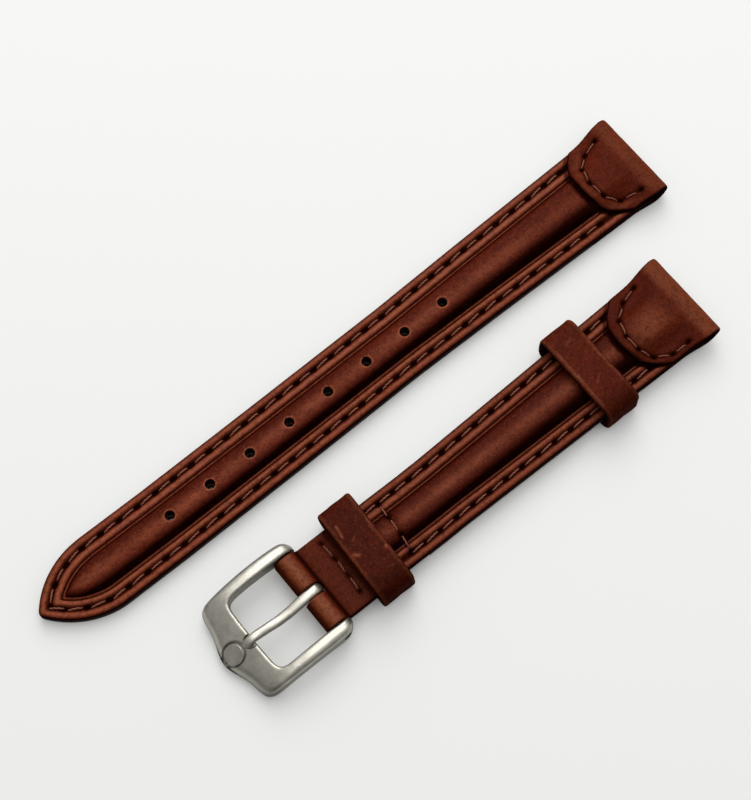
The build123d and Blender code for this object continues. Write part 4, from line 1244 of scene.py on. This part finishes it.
def build_tongue(body):
    """A rod that is rolled round the bar at one end and rounded at the other."""
    turns = np.radians(np.linspace(-48, -262, 34))
    hook = [(HOOK_RADIUS * math.cos(a), HOOK_RADIUS * math.sin(a)) for a in turns]
    path = eased(np.concatenate([hook, eased(TONGUE_LINE, 10, 0.5)]), 1, 1.4)
    run = np.concatenate([[0], np.cumsum(np.hypot(*np.diff(path, axis=0).T))])
    tangent = np.gradient(path, axis=0)
    tangent /= np.hypot(*tangent.T)[:, None]
    normal = np.stack([-tangent[:, 1], tangent[:, 0]], -1)
    along, widths, thicknesses = np.array(TONGUE_SIZES).T
    share = run / run[-1] * along[-1]
    width, thick = np.interp(share, along, widths), np.interp(share, along, thicknesses)
    stations = [(path[0] - tangent[0] * 0.12, normal[0], width[0] * 0.86, thick[0] * 0.6)]
    stations += list(zip(path, normal, width, thick))
    for ahead, size in ((0.0025, 0.96), (0.195, 0.8), (0.36, 0.45)):
        stations.append((path[-1] + tangent[-1] * ahead, normal[-1], width[-1] * size, thick[-1] * size))
    points = []
    for middle, n, w, t in stations:
        for c, s in ring(28):
            across, up = (math.copysign(abs(part) ** 0.8, part) * size / 2 for part, size in ((c, w), (s, t)))
            points.append((middle[0] + n[0] * up, np.interp(middle[0], *zip(*TONGUE_SWAY)) + across,
                           middle[1] + n[1] * up))
    faces = tube_faces(len(stations), 28)
    obj = new_piece("satin_tongue", buckle_place(points), faces, materials["buckle"], body)
    float_attribute(obj.data, "shade", 0.75 * smooth_step((steepness(obj) - 0.42) / 0.5))
    return obj


# Stitches, set by Geometry Nodes

def stitch_model(name, length, width, height):
    """One stitch: two twisted plies that rise from one needle hole and dip into the next."""
    rings, sides = 15, 9
    points, twist = [], []
    for i in range(rings):
        t = i / (rings - 1)
        arch = math.sin(math.pi * t)
        rise, taper = arch ** 0.55, 0.55 + 0.45 * arch ** 0.4
        for j in range(sides):
            angle = 2 * math.pi * j / sides
            ply = math.cos(2 * (angle - t * length * 5.2))
            size = taper * (1 + 0.13 * ply)
            z = height * (rise - 1.0) * 1.15 + height * 0.5 * size * math.sin(angle)
            points.append(((t - 0.5) * length * MM, width / 2 * size * math.cos(angle) * MM, z * MM))
            twist.append(0.5 + 0.5 * ply)
    mesh = bpy.data.meshes.new(name)
    mesh.from_pydata(points, [], tube_faces(rings, sides))
    float_attribute(mesh, "twist", twist)
    for polygon in mesh.polygons:
        polygon.use_smooth = True
    return bpy.data.objects.new(name, mesh)


def stitch_tree():
    """Puts one stitch on every point of a row, turned along it, with a slant and a little play."""
    tree = bpy.data.node_groups.new("stitch_row", "GeometryNodeTree")
    tree.interface.new_socket("Geometry", in_out="OUTPUT", socket_type="NodeSocketGeometry")
    for name, kind in (("Geometry", "Geometry"), ("Stitch", "Object"), ("Slant", "Float"), ("Play", "Float"),
                       ("Seed", "Int"), ("Material", "Material")):
        tree.interface.new_socket(name, in_out="INPUT", socket_type=f"NodeSocket{kind}")

    def node(kind, settings, inputs, output=0):
        made = tree.nodes.new(kind)
        for key, value in settings.items():
            setattr(made, key, value)
        for key, value in inputs.items():
            if isinstance(value, bpy.types.NodeSocket):
                tree.links.new(value, made.inputs[key])
            else:
                made.inputs[key].default_value = value
        return made.outputs[output]

    def vector_attribute(name):
        return node("GeometryNodeInputNamedAttribute", {"data_type": "FLOAT_VECTOR"}, {"Name": name},
                    "Attribute")

    def chance(low, high):
        return node("FunctionNodeRandomValue", {"data_type": "FLOAT"},
                    {2: low, 3: high, "Seed": entry["Seed"]}, 1)

    entry = tree.nodes.new("NodeGroupInput").outputs
    up = node("FunctionNodeAlignRotationToVector", {"axis": "Z"}, {"Vector": vector_attribute("rise")})
    aim = node("FunctionNodeAlignRotationToVector", {"axis": "X", "pivot_axis": "Z"},
               {"Rotation": up, "Vector": vector_attribute("heading")})
    swing = node("ShaderNodeMath", {"operation": "MULTIPLY_ADD"},
                 {0: chance(-1.0, 1.0), 1: entry["Play"], 2: entry["Slant"]})
    turn = node("FunctionNodeEulerToRotation", {}, {"Euler": node("ShaderNodeCombineXYZ", {}, {"Z": swing})})
    whole = node("FunctionNodeRotateRotation", {"rotation_space": "LOCAL"},
                 {"Rotation": aim, "Rotate By": turn})
    size = node("ShaderNodeCombineXYZ", {}, {"X": chance(0.9, 1.08), "Y": 1.0, "Z": 1.0})
    stitch = node("GeometryNodeObjectInfo", {}, {"Object": entry["Stitch"]}, "Geometry")
    placed = node("GeometryNodeInstanceOnPoints", {},
                  {"Points": entry["Geometry"], "Instance": stitch, "Rotation": whole, "Scale": size})
    real = node("GeometryNodeRealizeInstances", {}, {"Geometry": placed})
    done = node("GeometryNodeSetMaterial", {}, {"Geometry": real, "Material": entry["Material"]})
    tree.links.new(done, tree.nodes.new("NodeGroupOutput").inputs[0])
    return tree


def stitch_row(name, places, headings, rises, body, **inputs):
    """Runs the row's tree over the given points and keeps its result as a plain mesh."""
    obj = new_object(name, places)
    for key, values in (("heading", headings), ("rise", rises)):
        attribute = obj.data.attributes.new(key, "FLOAT_VECTOR", "POINT")
        attribute.data.foreach_set("vector", np.asarray(values, np.float32).ravel())
    modifier = obj.modifiers.new("stitch_row", "NODES")
    modifier.node_group = bpy.data.node_groups.get("stitch_row") or stitch_tree()
    for item in modifier.node_group.interface.items_tree:
        if item.in_out == "INPUT" and item.name in inputs:
            modifier[item.identifier] = inputs[item.name]
    keep_result(obj)
    obj.data.name = name
    finish_piece(obj, materials["thread"], body)
    return obj


def unit(vectors):
    return vectors / np.linalg.norm(vectors, axis=1)[:, None]


def seam_stitches(half, seam, height):
    """Places, headings and upward directions of a seam's stitches on a height over the plan."""
    here, back, ahead = (seam.at(seam.middles + step).T for step in (0, -0.5, 0.5))
    places, start, end = (half.place(*plan, height(*plan)) for plan in (here, back, ahead))
    heading = unit(end - start)
    across, off = unit(np.cross(heading, [0, 0, 1.0])), 0.3
    aside = across[:, :2].T * off
    tilt = (height(*(here - aside)) - height(*(here + aside))) / (2 * off)
    return places, heading, unit(np.cross(across, heading) + across * tilt[:, None] * 0.5)


def sew(sizes, name, half, seams, level, model, slant, seed, below=False):
    """One row of stitches, or two rows that are alike. A row below shows only where no strip covers it."""
    parts = [seam_stitches(half, seam, level) for seam in seams]
    places, headings, rises = (np.concatenate(part) for part in zip(*parts))
    if below:
        distance = half.origin[0] - places[:, 0] / MM
        bare = (distance > WRAP_LEG + 1) & ((distance < 51.5) | (half is TAIL))
        places, headings, rises = places[bare], headings[bare], -rises[bare]
    return stitch_row(name, places, headings, rises, half.body, Stitch=model, Slant=slant,
                      Play=sizes.stitch_play, Seed=seed, Material=materials["thread"])


def build_stitches(sizes):
    width, height, slant = sizes.thread_width / MM, sizes.thread_height / MM, sizes.stitch_slant
    stitch = stitch_model("one_stitch", sizes.stitch_length / MM, width, height)
    tab_stitch = stitch_model("one_tab_stitch", TAB_STITCH, width * 0.85, height)

    def over_ridge(distance, side):
        return 2.3 + 0.72 * smooth_step((3.5 - abs(side)) / 1.7)

    on_lane, on_bobbins = level_at(LANE_LEVEL), level_at(BOBBIN_LEVEL)
    for half, seed in ((TAIL, 3), (SHORT, 5)):
        rows = sew(sizes, f"{half.name}_seam_stitches", half, half.seams, on_lane, stitch, slant, seed)
        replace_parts(rows, f"{half.name}_seam_thread")
    for half, seed in ((TAIL, 7), (SHORT, 9)):
        row = sew(sizes, f"{half.name}_tab_stitches", half, [half.tab_seam],
                  lambda d, w: tab_level(half, d, w), tab_stitch, -slant * 0.3, seed)
        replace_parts(row, f"{half.name}_tab_thread")
    cross = sew(sizes, "cross_stitches", SHORT, [CROSS_SEAM], over_ridge, stitch, -slant * 0.5, 11)
    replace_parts(cross, "cross_thread")
    row = sew(sizes, "fold_stitches", SHORT, [FOLD_SEAM], level_at(FOLD_ROW_LEVEL), stitch, -slant * 0.5, 13)
    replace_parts(row, "fold_thread")
    for half, seed in ((TAIL, 15), (SHORT, 17)):
        rows = sew(sizes, f"{half.name}_bobbin_stitches", half, half.seams, on_bobbins, stitch, -slant, seed,
                   below=True)
        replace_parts(rows, f"{half.name}_bobbin_thread")
    for model in (stitch, tab_stitch):
        bpy.data.objects.remove(model)


# Operators and their panel

def colour_property(name, description, default):
    return bpy.props.FloatVectorProperty(name=name, description=description, default=default, subtype="COLOR",
                                         size=3, min=0, max=1)


def length_property(name, description, default):
    return bpy.props.FloatProperty(name=name, description=description, default=default, unit="LENGTH",
                                   subtype="DISTANCE", precision=5)


def angle_property(name, description, degrees):
    return bpy.props.FloatProperty(name=name, description=description, default=math.radians(degrees),
                                   unit="ROTATION", subtype="ANGLE")


class StrapLooks(bpy.types.PropertyGroup):
    """Colours of the leather and the steel, and how dull the steel is."""
    # The bright colours serve real wear and painted highlights alike: the rails, crown, bead and hole rims of
    # the uppers, the lug ends, the loops' scuffs and the fold's roll.
    leather: colour_property("Leather", "Colour of the upper", (0.104, 0.0125, 0.0036))
    leather_deep: colour_property("Deep leather", "Its dark clouds", (0.056, 0.0062, 0.0023))
    leather_wear_and_highlight: colour_property("Leather wear and highlight", "Its rails and crown", (0.262, 0.06, 0.0235))
    tab: colour_property("Tab leather", "Colour of tabs, loops and fold", (0.108, 0.0138, 0.0042))
    tab_deep: colour_property("Deep tab leather", "Its dark clouds", (0.062, 0.0076, 0.0028))
    tab_wear_and_highlight: colour_property("Tab wear and highlight", "Where it is worn and where highlights are painted", (0.205, 0.053, 0.0195))
    steel: colour_property("Steel", "Colour of the buckle", (0.5, 0.478, 0.415))
    steel_roughness: bpy.props.FloatProperty(name="Steel roughness", description="How dull the buckle is",
                                             default=0.36, min=0.05, max=1)


class StrapSizes(bpy.types.PropertyGroup):
    """Sizes that a user may change without the frame changing."""
    stitch_length: length_property("Stitch length", "Seen length of a stitch", 0.002)
    thread_width: length_property("Thread width", "Width of the thread", 0.00027)
    thread_height: length_property("Thread height", "How far a stitch stands up", 0.00026)
    stitch_slant: angle_property("Stitch slant", "Turn of a stitch against its seam", 5)
    stitch_play: angle_property("Stitch play", "How unevenly the stitches lie", 3)
    row_step: length_property("Row step", "Spacing of the upper's sections", 0.0003)


class STRAP_OT_finishes(bpy.types.Operator):
    """Makes the materials"""
    bl_idname = "strap.finishes"
    bl_label = "Finishes"

    def execute(self, context):
        make_materials(context.scene.strap_looks)
        return {"FINISHED"}


class STRAP_OT_uppers(bpy.types.Operator):
    """Builds the uppers of both halves with their rails, lanes and padded ridges"""
    bl_idname = "strap.uppers"
    bl_label = "Uppers"

    def execute(self, context):
        step = context.scene.strap_sizes.row_step / MM
        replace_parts(build_upper(TAIL, None, step), "tail_upper")
        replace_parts(build_upper(SHORT, SHORT.reach("short_upper"), step), "short_upper")
        return {"FINISHED"}


class STRAP_OT_inner_layers(bpy.types.Operator):
    """Builds paddings, stiffeners and linings"""
    bl_idname = "strap.inner_layers"
    bl_label = "Inner layers"

    def execute(self, context):
        for half, board_stop in ((TAIL, None), (SHORT, BAR_DISTANCE - FOLD_RADIUS - 0.05)):
            name, lining_stop = half.name, half.reach(f"{half.name}_lining")
            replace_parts(build_padding(half), f"{name}_padding")
            board = build_flat(f"{name}_stiffener_board", half, POCKET_START, board_stop, 0.05, LINING_TOP,
                               STIFFENER_TOP, "stiffener")
            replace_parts(board, f"{name}_stiffener")
            lining = build_flat(f"{name}_lining_leather", half, WRAP_LEG + 0.1, lining_stop, 0.0, 0.0,
                                LINING_TOP, "lining", lane=True)
            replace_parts(lining, f"{name}_lining")
        return {"FINISHED"}


class STRAP_OT_lug_tabs(bpy.types.Operator):
    """Builds the strips that fold round the lug tunnels, with their tabs"""
    bl_idname = "strap.lug_tabs"
    bl_label = "Lug tabs"

    def execute(self, context):
        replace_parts(build_lug_wrap(TAIL), "tail_lug_wrap")
        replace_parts(build_lug_wrap(SHORT), "short_lug_wrap")
        return {"FINISHED"}


class STRAP_OT_fold_and_loops(bpy.types.Operator):
    """Builds the fold that holds the buckle, and both loops"""
    bl_idname = "strap.fold_and_loops"
    bl_label = "Fold and loops"

    def execute(self, context):
        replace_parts(build_buckle_fold("buckle_side"), "buckle_fold")
        fixed = build_loop("fixed_loop_band", "fixed_loop", "buckle_side", 0.038, -0.09, FIXED_SCUFFS, -0.4,
                           FIXED_WALL)
        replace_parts(fixed, "fixed_loop")
        free = build_loop("free_loop_band", "free_loop", "free_loop", 0.0, -0.04, FREE_SCUFFS, 0.0, FREE_WALL)
        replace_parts(free, "free_loop")
        return {"FINISHED"}


class STRAP_OT_stitches(bpy.types.Operator):
    """Sews every seam"""
    bl_idname = "strap.stitches"
    bl_label = "Stitches"

    def execute(self, context):
        build_stitches(context.scene.strap_sizes)
        return {"FINISHED"}


class STRAP_OT_metal(bpy.types.Operator):
    """Builds the buckle's frame, disc and tongue, and gives the spring bar its steel"""
    bl_idname = "strap.metal"
    bl_label = "Metal"

    def execute(self, context):
        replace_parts(build_buckle_frame("buckle"), "buckle_frame")
        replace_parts(build_badge("buckle"), "buckle_badge")
        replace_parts(build_tongue("tongue"), "tongue")
        for node in ("bar_tube", "bar_spring", "bar_pin_left", "bar_pin_right"):
            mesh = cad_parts[node].data
            mesh.materials.clear()
            mesh.materials.append(materials["bar"])
        return {"FINISHED"}


FLOOR_HALF, FLOOR_LEVEL = 2, -0.0002
LAMPS = [("window", (0.34, 0.42, 0.6), 2.5), ("ceiling", (0.1, 0.1, 0.9), 2.0)]
LAMP_SIZE = 0.6
CAMERA_PLACE, CAMERA_AIM, CAMERA_LENS = (-0.05401, -0.060105, 0.2572), (0.0009, 0.006605, 0), 85.5


def point_at(obj, place, aim):
    obj.location = place
    obj.rotation_euler = (Vector(aim) - Vector(place)).to_track_quat("-Z", "Y").to_euler()
    bpy.context.scene.collection.objects.link(obj)


def make_floor():
    """A pale floor with painted shade: a little darker towards the near left."""
    corners = [(x * FLOOR_HALF, y * FLOOR_HALF, FLOOR_LEVEL) for x, y in ((-1, -1), (1, -1), (1, 1), (-1, 1))]
    floor = new_object("floor", corners, [(0, 1, 2, 3)])
    finish = Finish("pale_floor", roughness=0.9, specular=0.1)
    across = finish.node("ShaderNodeVectorMath", {"operation": "DOT_PRODUCT"}, finish.position(),
                         (0.63, 0.77, 0), output="Value")
    pale = finish.mix(across.between(-0.11, 0.1) * 0.85 + finish.noise(6, 3, 0.5) * 0.2,
                      (0.815, 0.82, 0.803), (0.895, 0.9, 0.886))
    finish.set("Base Color", pale)
    finish.shine_through(pale, 0.34)
    floor.data.materials.append(finish.material)


def make_world():
    """An even white room, brighter above and behind the strap."""
    world = bpy.data.worlds.new("pale_room")
    world.use_nodes = True
    nodes, links = world.node_tree.nodes, world.node_tree.links
    toward, level = nodes.new("ShaderNodeVectorMath"), nodes.new("ShaderNodeMapRange")
    toward.operation = "DOT_PRODUCT"
    toward.inputs[1].default_value = (0.3, 0.45, 0.84)
    for key, value in (("From Min", -0.25), ("From Max", 0.95), ("To Min", 0.08), ("To Max", 0.8)):
        level.inputs[key].default_value = value
    links.new(nodes.new("ShaderNodeTexCoord").outputs["Generated"], toward.inputs[0])
    links.new(toward.outputs["Value"], level.inputs["Value"])
    links.new(level.outputs[0], nodes["Background"].inputs["Strength"])
    nodes["Background"].inputs["Color"].default_value = (1, 1, 1, 1)
    return world


class STRAP_OT_stage(bpy.types.Operator):
    """Sets the floor, the lamps, the world and the camera"""
    bl_idname = "strap.stage"
    bl_label = "Stage"

    def execute(self, context):
        scene = context.scene
        make_floor()
        for name, place, power in LAMPS:
            light = bpy.data.lights.new(name, "AREA")
            light.shape, light.size, light.energy = "DISK", LAMP_SIZE, power
            point_at(bpy.data.objects.new(name, light), place, (0, 0, 0))
        scene.world = make_world()
        camera = bpy.data.cameras.new("photo_camera")
        camera.lens, camera.sensor_width, camera.clip_start = CAMERA_LENS, 36, 0.01
        viewer = bpy.data.objects.new("photo_camera", camera)
        point_at(viewer, CAMERA_PLACE, CAMERA_AIM)
        scene.camera = viewer
        scene.view_settings.view_transform = "Standard"
        return {"FINISHED"}


OPERATORS = [STRAP_OT_finishes, STRAP_OT_uppers, STRAP_OT_inner_layers, STRAP_OT_lug_tabs,
             STRAP_OT_fold_and_loops, STRAP_OT_stitches, STRAP_OT_metal, STRAP_OT_stage]


class STRAP_PT_panel(bpy.types.Panel):
    """Lists the strap's pieces"""
    bl_idname = "STRAP_PT_panel"
    bl_label = "Leather watch strap"
    bl_space_type = "VIEW_3D"
    bl_region_type = "UI"
    bl_category = "Strap"

    def draw(self, context):
        for group in (context.scene.strap_looks, context.scene.strap_sizes):
            for key in group.__annotations__:
                self.layout.prop(group, key)
        for operator in OPERATORS:
            self.layout.operator(operator.bl_idname)


CLASSES = [StrapLooks, StrapSizes, *OPERATORS, STRAP_PT_panel]


def register():
    for item in CLASSES:
        bpy.utils.register_class(item)
    bpy.types.Scene.strap_looks = bpy.props.PointerProperty(type=StrapLooks)
    bpy.types.Scene.strap_sizes = bpy.props.PointerProperty(type=StrapSizes)


def unregister():
    del bpy.types.Scene.strap_looks, bpy.types.Scene.strap_sizes
    for item in reversed(CLASSES):
        bpy.utils.unregister_class(item)


def main():
    register()
    bpy.ops.strap.finishes()
    bpy.ops.strap.uppers()
    bpy.ops.strap.inner_layers()
    bpy.ops.strap.lug_tabs()
    bpy.ops.strap.fold_and_loops()
    bpy.ops.strap.stitches()
    bpy.ops.strap.metal()
    bpy.ops.strap.stage()


if __name__ == "__main__":
    main()
